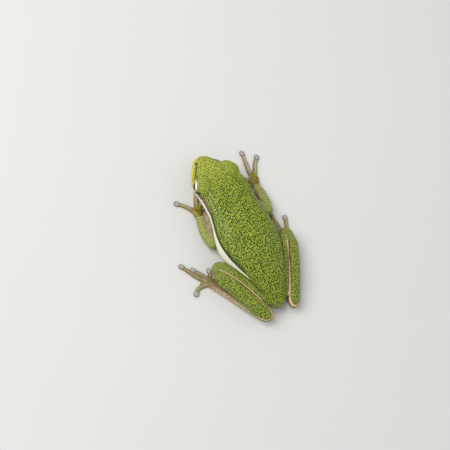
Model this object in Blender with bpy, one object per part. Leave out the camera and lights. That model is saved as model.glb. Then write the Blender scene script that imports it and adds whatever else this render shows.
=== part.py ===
"""A green tree frog at rest, life size, as a still model.

The frog faces -Y with its left side towards +X, and its belly lies on the floor, at Z = 0.
Lengths below are in millimetres along three body directions, and at() turns them into metres:
left of the body's middle line, back from the tip of the snout, and up from the floor.
"""

import math

import bmesh
import bpy
import numpy as np

MM = 0.001
GAP = 0.3            # room kept between two parts that touch
BELLY_BACK = 27.0    # how far behind the snout the origin lies, under the belly

HEAD_PIVOT_BACK = 13.0
HEAD_TURN = math.radians(7.0)   # to the frog's left
NECK_BACK = 14.4
MOUTH_UP = 3.2
MOUTH_HEIGHT = 0.32
MOUTH_DEPTH = 0.55
EYE_RADIUS = 2.3
EYE_PLACE = (5.4, 7.9, 6.3)
LID_SIZE = (4.0, 2.95, 2.95)
LID_INSET = 0.5      # how far the lid's middle lies inside the eye's
LID_BEHIND = 0.7     # and behind it
NOSTRIL_PLACE = (2.1, 1.5, 4.95)
NOSTRIL_SIZE = 0.32
EARDRUM_PLACE = (7.3, 12.0, 5.3)
EARDRUM_RADIUS = 1.2

DIGIT_RADIUS = 0.64
DIGIT_UP = 0.48
PAD_RADIUS = 0.85    # half the width of the round pad at the end of a finger or toe
PAD_THICKNESS = 0.58
PALM_BROAD = (1.25, 1.6)
SOLE_BROAD = (1.25, 1.45)
BASE_THICK = (1.0, 0.8)
WEB_TOP = 0.64
HEEL_SPLIT_UP = 2.65

GREEN = (0.20, 0.36, 0.045, 1.0)
TAN = (0.36, 0.27, 0.14, 1.0)
GOLD = (0.45, 0.30, 0.09, 1.0)

# Trunk and head share one set of stations: half width, middle line, top, bottom, height of the
# widest line, and how square the section is above and below that line
BODY_BACK = (0.0, 0.35, 1.0, 2.4, 4.0, 6.2, 8.6, 11.0, 14.0, 17.0, 20.0, 25.0, 28.0, 31.0, 35.0,
             40.0, 45.0, 48.0, 49.6, 50.6)
HALF_WIDTH = (0.3, 1.4, 2.3, 3.65, 5.15, 6.55, 7.3, 7.7, 7.9, 8.1, 8.4, 9.5, 9.75, 9.5, 8.2,
              6.1, 4.4, 3.4, 2.3, 0.9)
MIDDLE_LEFT = (0.0, 0.0, 0.0, 0.0, 0.0, -0.05, -0.15, -0.25, -0.3, -0.25, -0.1, 0.0, -0.05, -0.15,
               -0.4, -0.7, -0.8, -0.8, -0.75, -0.7)
TOP_UP = (4.0, 4.8, 5.45, 6.3, 7.1, 8.15, 8.9, 9.45, 9.95, 10.4, 10.9, 11.7, 12.1, 12.1, 11.6,
          10.2, 8.2, 6.8, 5.7, 4.8)
BOTTOM_UP = (2.9, 2.3, 1.9, 1.5, 1.3, 1.15, 1.0, 0.9, 0.7, 0.45, 0.15, -0.2, -0.25, -0.25, -0.2,
             0.3, 1.2, 2.1, 3.0, 3.8)
WIDEST_UP = (3.4, 3.4, 3.45, 3.5, 3.6, 3.7, 3.9, 4.4, 5.4, 6.3, 6.7, 6.4, 6.1, 6.3, 6.8,
             6.8, 5.9, 5.1, 4.6, 4.3)
UPPER_SQUARE = (2.0, 2.0, 2.0, 2.0, 2.1, 2.4, 2.8, 3.0, 2.75, 2.4, 2.2, 2.15, 2.15, 2.15, 2.15,
                2.1, 2.0, 2.0, 2.0, 2.0)
LOWER_SQUARE = (2.0, 2.0, 2.0, 2.0, 2.0, 2.0, 1.95, 1.85, 1.7, 1.55, 1.5, 1.75, 2.0, 2.0, 1.7,
                1.6, 1.7, 1.9, 2.0, 2.0)

# Each limb: the path of its centre, half widths, half thicknesses and tilt in degrees
UPPER_ARM = {
    "left": (((6.7, 17.0, 4.0), (7.6, 21.0, 4.1), (9.2, 25.2, 3.1)), (1.6, 1.6, 1.45),
             (2.1, 1.7, 1.45), 0),
    "right": (((-6.7, 16.9, 4.1), (-8.9, 20.2, 4.0), (-12.0, 23.2, 3.3)), (1.6, 1.6, 1.45),
              (2.1, 1.7, 1.45), 0),
}
FOREARM = {
    "left": (((9.2, 25.2, 3.1), (9.3, 22.2, 2.6), (9.1, 19.4, 2.2), (8.6, 16.6, 1.55)),
             (1.45, 1.75, 1.6, 1.15), (1.45, 1.5, 1.35, 1.0), 0),
    "right": (((-12.0, 23.2, 3.3), (-12.4, 20.6, 2.7), (-12.7, 17.6, 2.1), (-12.9, 14.9, 1.4)),
              (1.45, 1.75, 1.6, 1.15), (1.45, 1.5, 1.35, 0.95), 0),
}
THIGH = {
    "left": (((2.9, 46.9, 4.3), (4.4, 43.3, 4.9), (6.4, 38.8, 5.2), (9.1, 35.0, 5.2),
              (11.6, 32.3, 4.9)), (1.9, 2.35, 2.4, 2.3, 2.15), (1.9, 2.35, 2.35, 2.3, 2.1), 0),
    "right": (((-4.2, 46.8, 4.3), (-5.6, 43.2, 4.8), (-7.6, 38.8, 5.0), (-10.4, 34.9, 5.1),
               (-12.9, 32.0, 4.9)), (1.7, 2.1, 2.2, 2.2, 2.15), (1.7, 2.1, 2.2, 2.2, 2.1), 0),
}
SHANK = {
    "left": (((11.6, 32.3, 4.9), (11.7, 35.0, 5.0), (9.85, 38.6, 5.1), (7.45, 43.5, 5.0),
              (5.55, 47.8, 4.6), (4.25, 50.35, 4.0)), (2.15, 2.4, 2.55, 2.55, 2.5, 2.4),
             (2.1, 1.85, 1.7, 1.6, 1.6, 1.6), -44),
    "right": (((-12.9, 32.0, 4.9), (-13.1, 35.0, 5.1), (-11.7, 38.8, 5.3), (-9.35, 43.8, 5.3),
               (-7.1, 48.2, 4.8), (-6.1, 50.55, 4.2)), (2.15, 2.3, 2.5, 2.55, 2.5, 2.4),
              (2.1, 1.85, 1.7, 1.6, 1.6, 1.6), 36),
}
TARSUS = {
    "left": (((4.5, 50.2, 2.0), (6.8, 46.9, 1.4), (10.4, 41.1, 1.15), (14.2, 35.2, 1.05)),
             (1.45, 1.35, 1.3, 1.3), (1.3, 1.25, 1.2, 1.05), 0),
    "right": (((-6.4, 50.2, 2.0), (-8.1, 46.8, 1.4), (-10.8, 41.2, 1.15), (-13.2, 35.6, 1.05)),
              (1.4, 1.3, 1.25, 1.3), (1.3, 1.25, 1.2, 1.05), 0),
}
# Fingers and toes: the path of each, from its base to the centre of its pad
FINGERS = {
    "left": (((8.0, 14.6), (6.1, 14.5), (4.6, 14.4)),
             ((8.0, 14.2), (5.9, 12.8), (4.2, 11.3)),
             ((8.0, 14.0), (6.9, 11.8), (6.1, 10.1), (5.4, 8.5)),
             ((8.4, 14.6), (9.5, 13.0), (10.8, 11.4), (12.7, 9.8))),
    "right": (((-13.0, 13.8), (-11.6, 14.1), (-10.2, 14.2)),
              ((-13.1, 13.2), (-11.3, 12.2), (-9.6, 11.0)),
              ((-13.4, 12.4), (-13.3, 9.9), (-13.6, 7.2), (-13.9, 4.4)),
              ((-13.9, 12.5), (-15.1, 10.9), (-16.2, 9.0), (-17.8, 7.3))),
}
# Where each hand and foot begins and ends behind its digits
PALM = {
    "left": ((8.45, 16.2, 1.25), (8.1, 14.5, 0.95)),
    "right": ((-12.95, 14.8, 1.2), (-13.5, 12.9, 0.95)),
}
TOES = {
    "left": (((13.9, 34.8), (12.2, 34.9), (10.9, 34.4)),
             ((14.2, 34.1), (13.2, 33.0), (12.8, 31.6)),
             ((14.3, 33.8), (15.7, 31.5), (17.4, 29.3)),
             ((14.7, 34.2), (16.9, 32.0), (18.7, 29.2), (20.1, 26.9)),
             ((14.6, 35.2), (16.6, 34.7), (18.4, 34.9), (19.6, 36.0))),
    "right": (((-12.9, 34.6), (-11.8, 33.0), (-11.3, 31.4)),
              ((-13.1, 34.2), (-12.2, 31.3), (-11.7, 28.6)),
              ((-13.3, 33.8), (-13.2, 30.0), (-12.4, 26.6), (-11.7, 24.9)),
              ((-13.6, 33.8), (-14.2, 30.0), (-13.9, 26.6), (-13.6, 24.3)),
              ((-13.9, 34.2), (-15.8, 31.8), (-16.8, 29.6), (-17.5, 27.5))),
}
SOLE = {
    "left": ((14.2, 35.2, 1.05), (14.6, 34.2, 0.95)),
    "right": ((-13.2, 35.6, 1.05), (-13.4, 34.2, 0.95)),
}
# The toes that a web joins, and how far along them it reaches
WEBS = ((1, 2, 0.5), (2, 3, 0.62), (3, 4, 0.62))

# Three places on the crease where a folded leg or arm lies against itself
KNEE_FOLD = {
    "left": ((11.4, 32.1, 5.0), (2.4, 48.8, 5.0), (13.2, 32.1, 10.0)),
    "right": ((-12.7, 31.9, 5.0), (-4.4, 48.9, 5.0), (-14.5, 31.9, 10.0)),
}
ELBOW_FOLD = {
    "left": ((9.2, 25.2, 3.1), (8.0, 16.0, 2.9), (11.6, 25.2, 5.2)),
    "right": ((-12.0, 23.2, 3.3), (-9.6, 15.5, 2.9), (-14.4, 23.2, 5.4)),
}


def at(left, back, up):
    """A place on the frog, in metres."""
    return np.stack(np.broadcast_arrays(left, np.subtract(back, BELLY_BACK), up), -1) * MM


def curve_through(stations, values):
    """A smooth function through a few values, which doesn't overshoot between them."""
    x = np.asarray(stations, float)
    y = np.asarray(values, float)
    step = np.diff(x)
    slope = np.diff(y) / step
    tangent = np.concatenate([slope[:1], np.zeros(len(x) - 2), slope[-1:]])
    turning = slope[:-1] * slope[1:] <= 0
    before = np.where(turning, 1.0, slope[:-1])
    after = np.where(turning, 1.0, slope[1:])
    mean = 2 * before * after / (before + after)
    tangent[1:-1] = np.where(turning, 0.0, mean)

    def value(place):
        place = np.clip(np.asarray(place, float), x[0], x[-1])
        i = np.clip(np.searchsorted(x, place, side="right") - 1, 0, len(step) - 1)
        t = (place - x[i]) / step[i]
        ends = y[i] * (2 * t**3 - 3 * t**2 + 1) + y[i + 1] * (3 * t**2 - 2 * t**3)
        leaving = tangent[i] * (t**3 - 2 * t**2 + t)
        arriving = tangent[i + 1] * (t**3 - t**2)
        return ends + step[i] * (leaving + arriving)

    return value


half_width = curve_through(BODY_BACK, HALF_WIDTH)
middle_left = curve_through(BODY_BACK, MIDDLE_LEFT)
top_up = curve_through(BODY_BACK, TOP_UP)
bottom_up = curve_through(BODY_BACK, BOTTOM_UP)
widest_up = curve_through(BODY_BACK, WIDEST_UP)
upper_square = curve_through(BODY_BACK, UPPER_SQUARE)
lower_square = curve_through(BODY_BACK, LOWER_SQUARE)


def body_rings(back, sides):
    """Cross-sections of the body at the given stations: two half superellipses each."""
    b = np.asarray(back, float)[:, None]
    angle = np.linspace(0, 2 * np.pi, sides, endpoint=False)[None, :]
    c, s = np.cos(angle), np.sin(angle)
    square = np.where(s > 0, upper_square(b), lower_square(b))
    across = np.sign(c) * np.abs(c) ** (2 / square)
    above = np.sign(s) * np.abs(s) ** (2 / square)
    middle = widest_up(b)
    height = np.where(s > 0, top_up(b) - middle, middle - bottom_up(b))
    return at(middle_left(b) + half_width(b) * across, b, middle + height * above)


def turn_head(points):
    """Turn points ahead of the neck to the left, by an angle that grows over 6 mm."""
    pivot = at(0.0, HEAD_PIVOT_BACK, 0.0)
    ahead = np.clip((pivot[1] - points[..., 1]) / (6 * MM), 0, 1)
    angle = HEAD_TURN * ahead
    flat = points - pivot
    x = flat[..., 0] * np.cos(angle) - flat[..., 1] * np.sin(angle)
    y = flat[..., 0] * np.sin(angle) + flat[..., 1] * np.cos(angle)
    return np.stack([x, y, flat[..., 2]], -1) + pivot


def closed_mesh(name, rings, start=None, end=None):
    """A tube through rings of points, closed by a point or, where none is given, a flat face."""
    count, sides = rings.shape[:2]
    verts = rings.reshape(-1, 3)
    i, j = np.meshgrid(np.arange(count - 1), np.arange(sides), indexing="ij")
    k = (j + 1) % sides
    quads = np.stack([i * sides + j, i * sides + k, (i + 1) * sides + k, (i + 1) * sides + j], -1)
    faces = quads.reshape(-1, 4).tolist()
    for ring, tip in ((np.arange(sides), start), ((count - 1) * sides + np.arange(sides), end)):
        if tip is None:
            faces.append(ring.tolist())
        else:
            verts = np.vstack([verts, tip])
            centre = np.full(sides, len(verts) - 1)
            faces.extend(np.stack([ring, np.roll(ring, -1), centre], 1).tolist())
    mesh = bpy.data.meshes.new(name)
    mesh.from_pydata(verts.tolist(), [], faces)
    shape = bmesh.new()
    shape.from_mesh(mesh)
    bmesh.ops.recalc_face_normals(shape, faces=shape.faces)
    shape.to_mesh(mesh)
    shape.free()
    mesh.shade_smooth()
    return mesh


def add_object(name, mesh):
    obj = bpy.data.objects.new(name, mesh)
    bpy.context.scene.collection.objects.link(obj)
    return obj


def keep_largest(obj):
    """Drop every loose piece of a mesh but the one with the most faces."""
    shape = bmesh.new()
    shape.from_mesh(obj.data)
    unseen = set(shape.faces)
    pieces = []
    while unseen:
        stack = [unseen.pop()]
        piece = set(stack)
        while stack:
            for edge in stack.pop().edges:
                for face in edge.link_faces:
                    if face in unseen:
                        unseen.remove(face)
                        piece.add(face)
                        stack.append(face)
        pieces.append(piece)
    largest = max(pieces, key=len)
    spare = [face for piece in pieces if piece is not largest for face in piece]
    bmesh.ops.delete(shape, geom=spare, context="FACES")
    bmesh.ops.delete(shape, geom=[v for v in shape.verts if not v.link_faces], context="VERTS")
    shape.to_mesh(obj.data)
    shape.free()


def combine(obj, other, operation):
    """Join another shape to obj, or cut it away, and throw that shape away."""
    step = obj.modifiers.new("combine", "BOOLEAN")
    step.operation = operation
    step.object = other
    step.solver = "MANIFOLD"
    bpy.context.view_layer.update()
    result = obj.evaluated_get(bpy.context.evaluated_depsgraph_get())
    mesh = bpy.data.meshes.new_from_object(result)
    obj.modifiers.remove(step)
    obj.data = mesh
    bpy.data.objects.remove(other)
    shape = bmesh.new()
    shape.from_mesh(mesh)
    bmesh.ops.remove_doubles(shape, verts=shape.verts, dist=0.000005)
    bmesh.ops.dissolve_degenerate(shape, edges=shape.edges, dist=0.000002)
    bmesh.ops.triangulate(shape, faces=[f for f in shape.faces if len(f.verts) > 4])
    shape.to_mesh(mesh)
    shape.free()
    keep_largest(obj)


def block(name, centre, half, toward=(0, 0, 1)):
    """A box whose local up direction points toward the given one."""
    normal = np.asarray(toward, float)
    normal = normal / np.linalg.norm(normal)
    helper = np.array([0.0, 1.0, 0.0]) if abs(normal[1]) < 0.8 else np.array([1.0, 0.0, 0.0])
    side = np.cross(helper, normal)
    side /= np.linalg.norm(side)
    front = np.cross(normal, side)
    corners = np.array([(-1, -1), (1, -1), (1, 1), (-1, 1)], float)
    flat = corners[:, :1] * side * half[0] + corners[:, 1:] * front * half[1]
    rings = np.stack([flat - normal * half[2], flat + normal * half[2]]) + centre
    mesh = closed_mesh(name, rings)
    mesh.shade_flat()
    return add_object(name, mesh)


def ball(name, centre, radii, sides=24, rings=12, forward=(0, 1, 0)):
    """An ellipsoid with its first radius along the given level direction."""
    lengthwise = np.asarray(forward, float)
    lengthwise = lengthwise / np.linalg.norm(lengthwise)
    side = np.cross(lengthwise, (0, 0, 1))
    side /= np.linalg.norm(side)
    up = np.cross(side, lengthwise)
    tilt = np.linspace(0, np.pi, rings + 1)[1:-1, None, None]
    turn = np.linspace(0, 2 * np.pi, sides, endpoint=False)[None, :, None]
    shape = (
        -np.cos(tilt) * lengthwise * radii[0]
        + np.sin(tilt) * np.cos(turn) * side * radii[1]
        + np.sin(tilt) * np.sin(turn) * up * radii[2]
    )
    ends = lengthwise * radii[0]
    return add_object(name, closed_mesh(name, shape + centre, centre - ends, centre + ends))


def trim(obj, point, normal):
    """Cut away what lies beyond a plane, on the side its normal points to."""
    normal = np.asarray(normal, float)
    normal = normal / np.linalg.norm(normal)
    reach = 60 * MM
    cutter = block("cutter", np.asarray(point) + normal * reach, (reach, reach, reach), normal)
    combine(obj, cutter, "DIFFERENCE")


def rest_on_floor(obj):
    trim(obj, (0, 0, 0), (0, 0, -1))


def limb_rings(path, broad, thin, tilt, grow, sides, rings):
    """Cross-sections along a limb with round ends, in metres.

    path holds the centres of its joints and the bends between them. broad and thin are its half
    sizes there, grow is added to both, and tilt turns the section about the path, in degrees.
    """
    path = np.asarray(path, float)
    broad = np.asarray(broad, float) + grow
    thin = np.asarray(thin, float) + grow
    knots = np.arange(len(path))
    dense = np.linspace(0, len(path) - 1, 200)
    line = np.stack([curve_through(knots, path[:, k])(dense) for k in range(3)], 1)
    length = np.concatenate([[0], np.cumsum(np.linalg.norm(np.diff(line, axis=0), axis=1))])
    swing = np.linspace(0.12, 0.5, 4)[:-1] * np.pi
    first_cap = -broad[0] * np.cos(swing)
    last_cap = length[-1] + broad[-1] * np.cos(swing[::-1])
    place = np.concatenate([first_cap, np.linspace(0, length[-1], rings), last_cap])
    shrink = np.concatenate([np.sin(swing), np.ones(rings), np.sin(swing[::-1])])
    inside = np.clip(place, 0, length[-1])
    station = np.interp(inside, length, dense)
    centre = np.stack([np.interp(inside, length, line[:, k]) for k in range(3)], 1)
    ahead = np.stack([np.interp(inside + 0.6, length, line[:, k]) for k in range(3)], 1)
    behind = np.stack([np.interp(inside - 0.6, length, line[:, k]) for k in range(3)], 1)
    forward = ahead - behind
    forward /= np.linalg.norm(forward, axis=1)[:, None]
    centre = centre + forward * (place - inside)[:, None]
    side = np.cross(forward, (0, 0, 1))
    side /= np.linalg.norm(side, axis=1)[:, None]
    up = np.cross(side, forward)
    lean = math.radians(tilt)
    wide = math.cos(lean) * side + math.sin(lean) * up
    narrow = math.cos(lean) * up - math.sin(lean) * side
    half_broad = curve_through(knots, broad)(station) * shrink
    half_thin = curve_through(knots, thin)(station) * shrink
    angle = np.linspace(0, 2 * np.pi, sides, endpoint=False)[None, :, None]
    section = (
        np.cos(angle) * wide[:, None, :] * half_broad[:, None, None]
        + np.sin(angle) * narrow[:, None, :] * half_thin[:, None, None]
    )
    shape = centre[:, None, :] + section
    start = centre[0] - forward[0] * broad[0] * (1 - np.cos(swing[0]))
    end = centre[-1] + forward[-1] * broad[-1] * (1 - np.cos(swing[0]))
    return tuple(at(p[..., 0], p[..., 1], p[..., 2]) for p in (shape, start, end))


def limb(name, path, broad, thin, tilt=0.0, grow=0.0, sides=16, rings=9):
    shape, start, end = limb_rings(path, broad, thin, tilt, grow, sides, rings)
    return add_object(name, closed_mesh(name, shape, start, end))


def fold_plane(fold):
    """A point on a crease plane, and its normal towards the body's middle line."""
    joint, along, above = (at(*place) for place in fold)
    normal = np.cross(along - joint, above - joint)
    normal /= np.linalg.norm(normal)
    return joint, normal * (-1 if normal[0] * joint[0] > 0 else 1)


def add_digits(obj, paths):
    """Join the fingers or toes to a hand or foot, each ending in a round pad."""
    for path in paths:
        centre = [(left, back, DIGIT_UP) for left, back in path]
        count = len(centre)
        taper = np.linspace(DIGIT_RADIUS * 1.2, DIGIT_RADIUS * 0.85, count)
        combine(obj, limb("digit", centre, taper, taper, sides=8, rings=2 * count), "UNION")
        heading = np.subtract(path[-1], path[-2])
        place = at(*path[-1], PAD_THICKNESS * 0.75)
        size = np.array([PAD_RADIUS * 1.05, PAD_RADIUS, PAD_THICKNESS]) * MM
        combine(obj, ball("pad", place, size, 12, 6, (*heading, 0)), "UNION")


def add_web(obj, first, second, reach):
    """Join a thin sheet between two toes; its free edge bows inwards."""
    across = np.linspace(0, 1, 5)[:, None]
    out = np.linspace(0.02, 1, 5)[None, :] * reach * (1 - 0.45 * np.sin(np.pi * across))
    lines = []
    for path in (first, second):
        path = np.asarray(path)
        place = out * (len(path) - 1)
        knots = np.arange(len(path))
        lines.append(np.stack([np.interp(place, knots, path[:, k]) for k in range(2)], -1))
    flat = lines[0] * (1 - across[..., None]) + lines[1] * across[..., None]
    top = at(flat[..., 0], flat[..., 1], WEB_TOP)
    under = at(flat[..., 0], flat[..., 1], -0.1)
    rings = np.concatenate([top, under[:, ::-1]], axis=1)
    combine(obj, add_object("web", closed_mesh("web", rings)), "UNION")


def build_extremity(name, base, broad, paths, webs, joint_normal):
    """A hand or foot: a flat base with its digits, cut to meet the limb behind it."""
    obj = limb(name, base, broad, BASE_THICK, rings=4)
    add_digits(obj, paths)
    for first, second, reach in webs:
        add_web(obj, paths[first], paths[second], reach)
    trim(obj, at(*base[0]) - joint_normal * GAP / 2 * MM, joint_normal)
    rest_on_floor(obj)
    return obj


def mouth_cutter():
    """The slit between the lips: a thin band round the jaw that ends below the ears."""
    back = np.array([10.6, 8.8, 7.0, 5.2, 3.6, 2.2, 1.2, 0.6, 0.2])
    edge = half_width(back)
    lips = np.stack([np.concatenate([edge, [0.0], -edge[::-1]]),
                     np.concatenate([back, [0.0], back[::-1]])], 1)
    run = np.gradient(lips, axis=0)
    outward = np.stack([-run[:, 1], run[:, 0]], 1)
    outward /= np.linalg.norm(outward, axis=1)[:, None]
    inner = lips - outward * MOUTH_DEPTH
    outer = lips + outward
    low = MOUTH_UP + 0.6 * np.clip((lips[:, 1] - 5) / 6, 0, 1) ** 2
    high = low + MOUTH_HEIGHT
    rings = np.stack([
        at(inner[:, 0], inner[:, 1], low), at(outer[:, 0], outer[:, 1], low),
        at(outer[:, 0], outer[:, 1], high), at(inner[:, 0], inner[:, 1], high),
    ], 1)
    return add_object("mouth", closed_mesh("mouth", turn_head(rings)))


def build_head():
    back = np.array([0.12, 0.4, 0.8, 1.3, 2.0, 3.0, 4.2, 5.6, 7.0, 8.5, 10.0, 11.5, 13.0,
                     NECK_BACK])
    tip = turn_head(at(0.0, 0.0, 3.45))
    head = add_object("head", closed_mesh("head", turn_head(body_rings(back, 36)), tip))
    heading = (math.sin(HEAD_TURN), math.cos(HEAD_TURN), 0)
    for side in (1, -1):
        left, behind, up = EYE_PLACE
        lid = turn_head(at(side * (left - LID_INSET), behind + LID_BEHIND, up - 0.05))
        combine(head, ball("lid", lid, np.array(LID_SIZE) * MM, 24, 14, heading), "UNION")
        drum = turn_head(at(side * EARDRUM_PLACE[0], *EARDRUM_PLACE[1:]))
        size = np.array([EARDRUM_RADIUS, 0.55, EARDRUM_RADIUS]) * MM
        combine(head, ball("drum", drum, size, 20, 10, (side * 0.15, 1, 0)), "UNION")
        nostril = turn_head(at(side * NOSTRIL_PLACE[0], *NOSTRIL_PLACE[1:]))
        size = np.array([1.3, 1.0, 1.0]) * NOSTRIL_SIZE * MM
        combine(head, ball("nostril", nostril, size, 12, 8), "DIFFERENCE")
        eye = turn_head(at(side * left, behind, up))
        socket = np.full(3, EYE_RADIUS + GAP) * MM
        combine(head, ball("socket", eye, socket, 24, 14, heading), "DIFFERENCE")
    combine(head, mouth_cutter(), "DIFFERENCE")
    return head


def build_trunk():
    back = np.concatenate([[NECK_BACK + GAP], np.linspace(16.5, 47.0, 17), [48.4, 49.4, 50.1]])
    tip = at(MIDDLE_LEFT[-1], BODY_BACK[-1], 4.3)
    return add_object("torso", closed_mesh("torso", body_rings(back, 36), None, tip))


def add_material(obj, colour, roughness):
    material = bpy.data.materials.new(f"{obj.name}_surface")
    material.use_nodes = True
    shader = material.node_tree.nodes["Principled BSDF"]
    shader.inputs["Base Color"].default_value = colour
    shader.inputs["Roughness"].default_value = roughness
    shader.inputs["Metallic"].default_value = 0.0
    obj.data.materials.clear()
    obj.data.materials.append(material)


def cut_end(obj, path):
    """Cut a limb square across the last point of its path, and return the way back along it."""
    backward = at(*path[-2]) - at(*path[-1])
    backward /= np.linalg.norm(backward)
    trim(obj, at(*path[-1]) + backward * GAP / 2 * MM, -backward)
    return backward


def part_at_fold(inner, outer, fold):
    """Cut two limb segments back from the crease between them."""
    joint, inward = fold_plane(fold)
    trim(inner, joint + inward * GAP / 2 * MM, -inward)
    trim(outer, joint - inward * GAP / 2 * MM, inward)


def build_arm(side, trunk):
    upper = limb(f"upper_arm_{side}", *UPPER_ARM[side])
    combine(trunk, limb("cutter", *UPPER_ARM[side], grow=GAP), "DIFFERENCE")
    forearm = limb(f"forearm_{side}", *FOREARM[side], rings=10)
    combine(trunk, limb("cutter", *FOREARM[side], grow=GAP, rings=10), "DIFFERENCE")
    part_at_fold(upper, forearm, ELBOW_FOLD[side])
    backward = cut_end(forearm, FOREARM[side][0])
    rest_on_floor(forearm)
    hand = build_extremity(f"hand_{side}", PALM[side], PALM_BROAD, FINGERS[side], (), backward)
    for obj, colour in ((upper, GREEN), (forearm, GREEN), (hand, TAN)):
        add_material(obj, colour, 0.55)


def build_leg(side, trunk):
    thigh = limb(f"thigh_{side}", *THIGH[side], rings=12)
    combine(trunk, limb("cutter", *THIGH[side], grow=GAP, rings=12), "DIFFERENCE")
    shank = limb(f"shank_{side}", *SHANK[side], rings=14)
    combine(trunk, limb("cutter", *SHANK[side], grow=GAP, rings=14), "DIFFERENCE")
    part_at_fold(thigh, shank, KNEE_FOLD[side])
    trim(shank, at(0, 0, HEEL_SPLIT_UP + GAP / 2), (0, 0, -1))
    tarsus = limb(f"tarsus_{side}", *TARSUS[side], rings=12)
    trim(tarsus, at(0, 0, HEEL_SPLIT_UP - GAP / 2), (0, 0, 1))
    backward = cut_end(tarsus, TARSUS[side][0])
    rest_on_floor(tarsus)
    foot = build_extremity(f"foot_{side}", SOLE[side], SOLE_BROAD, TOES[side], WEBS, backward)
    for obj, colour in ((thigh, GREEN), (shank, GREEN), (tarsus, TAN), (foot, TAN)):
        add_material(obj, colour, 0.55)


def build_eye(side, sign):
    centre = turn_head(at(sign * EYE_PLACE[0], *EYE_PLACE[1:]))
    eye = ball(f"eye_{side}", centre, np.full(3, EYE_RADIUS) * MM, 24, 14)
    add_material(eye, GOLD, 0.1)


def main():
    for obj in list(bpy.data.objects):
        bpy.data.objects.remove(obj)
    head = build_head()
    trunk = build_trunk()
    for side, sign in (("left", 1), ("right", -1)):
        build_eye(side, sign)
        build_arm(side, trunk)
        build_leg(side, trunk)
    rest_on_floor(trunk)
    add_material(head, GREEN, 0.55)
    add_material(trunk, GREEN, 0.55)


main()
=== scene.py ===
"""The skin, eyes and studio of a green tree frog at rest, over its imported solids.

The frog faces -Y with its left side towards +X and lies on the floor, at Z = 0. The tables give
lengths in millimetres: left of the body's middle line, back from the tip of the snout, and up
from the floor. Blender's own coordinates are in metres.
"""

import math

import bpy
import numpy as np
from bpy.props import FloatProperty, FloatVectorProperty, PointerProperty
from bpy.types import Operator, Panel, PropertyGroup
from mathutils import Matrix, Vector


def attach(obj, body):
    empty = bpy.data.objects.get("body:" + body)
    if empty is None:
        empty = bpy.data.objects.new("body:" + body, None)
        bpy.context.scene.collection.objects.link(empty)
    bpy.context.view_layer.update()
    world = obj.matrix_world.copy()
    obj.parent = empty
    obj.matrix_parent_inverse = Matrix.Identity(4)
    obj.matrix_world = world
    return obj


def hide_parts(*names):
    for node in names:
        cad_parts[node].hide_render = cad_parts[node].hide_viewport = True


bl_info = {
    "name": "Green tree frog",
    "version": (1, 0, 0),
    "blender": (4, 5, 0),
    "location": "3D View > Sidebar > Tree frog",
    "description": "Skin, eyes and studio of a life-size green tree frog",
    "category": "Object",
}

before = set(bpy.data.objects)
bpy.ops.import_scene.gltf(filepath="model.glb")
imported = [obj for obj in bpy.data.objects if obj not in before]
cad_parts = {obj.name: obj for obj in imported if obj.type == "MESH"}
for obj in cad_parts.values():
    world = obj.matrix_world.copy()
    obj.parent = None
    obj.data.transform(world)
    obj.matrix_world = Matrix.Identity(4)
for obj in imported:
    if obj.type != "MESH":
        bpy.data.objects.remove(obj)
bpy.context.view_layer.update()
FLESH_NODES = tuple(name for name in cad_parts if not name.startswith("eye_"))

MM = 0.001
BELLY_BACK = 27.0
HEAD_PIVOT_BACK = 13.0
HEAD_TURN = math.radians(7.0)
NECK_LENGTH = 6.0

EYE_PLACE = (5.4, 7.9, 6.3)
GAZE_AHEAD = math.radians(35)
GAZE_UP = math.radians(1)
LID_BULGE = (4.0, 2.95, 2.95)
LID_INSET = 0.5
LID_BEHIND = 0.7
LID_DROP = 0.05
LID_THICKNESS = 0.42
LID_RIM_RADIUS = 0.17
LID_RIM_OUT = 0.09
SOCKET_DEPTH = 0.35
# Half angles of the opening between the lids, seen from the eye's centre
LID_LONG = math.radians(52)
LID_HIGH = math.radians(45)
LID_LOW = math.radians(38)
# Where the skin opens and where the lid ends, over that opening's size, and how far lids act
LID_EDGE = (0.93, 1.05)
LID_FADE = (1.25, 1.6)
LID_REACH = 4.2

NOSTRIL_PLACE = (2.1, 1.5, 4.95)
EARDRUM_PLACE = (7.3, 12.0, 5.3)
MOUTH_END_BACK = 10.6
FLECK_PLACE = (1.0, 27.4, 12.05)
# The fold from nostril to eye, left and back, and the streak behind the eye, back and up
CANTHUS = ((2.5, 2.15), (5.35, 5.2))
STREAK = ((8.6, 6.6), (9.8, 7.5))

# Depth and width of the lines, holes and rings pressed into the skin, raised where negative
MOUTH_GROOVE = (0.16, 0.22)
TEMPLE_FOLD = (-0.22, 0.45)
CANTHUS_GROOVE, CANTHUS_RIDGE = (0.14, 0.28), (-0.1, 0.3)
NOSTRIL_HOLE, NOSTRIL_RIM = (0.3, 0.3), (-0.12, 0.22)
EARDRUM_RING = (-0.1, 0.22)
WRIST_GROOVE = (0.1, 0.2)
CREASE_DEPTH = 0.32
# How far some of them lie from the line or place that they follow
TEMPLE_FOLD_OVER = 1.5
CANTHUS_RIDGE_OUT = 0.7
NOSTRIL_RIM_OUT = 0.62
EARDRUM_RADIUS = 1.2

# Even smoothing of the joined forms: a pull and a push in each round
RELAX_ROUNDS, RELAX_PULL, RELAX_PUSH = 6, 0.55, -0.57
FEWEST_POINTS = 10000
# How far the markings of neighbouring forms run into each other
BLEND_WIDTH = 0.12

DIGIT_UP = 0.48
DIGIT_RADIUS = 0.64
PAD_RADIUS = 0.85
PAD_THICKNESS = 0.58
WEB_TOP = 0.64
WEB_FOOT = 0.02

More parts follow.
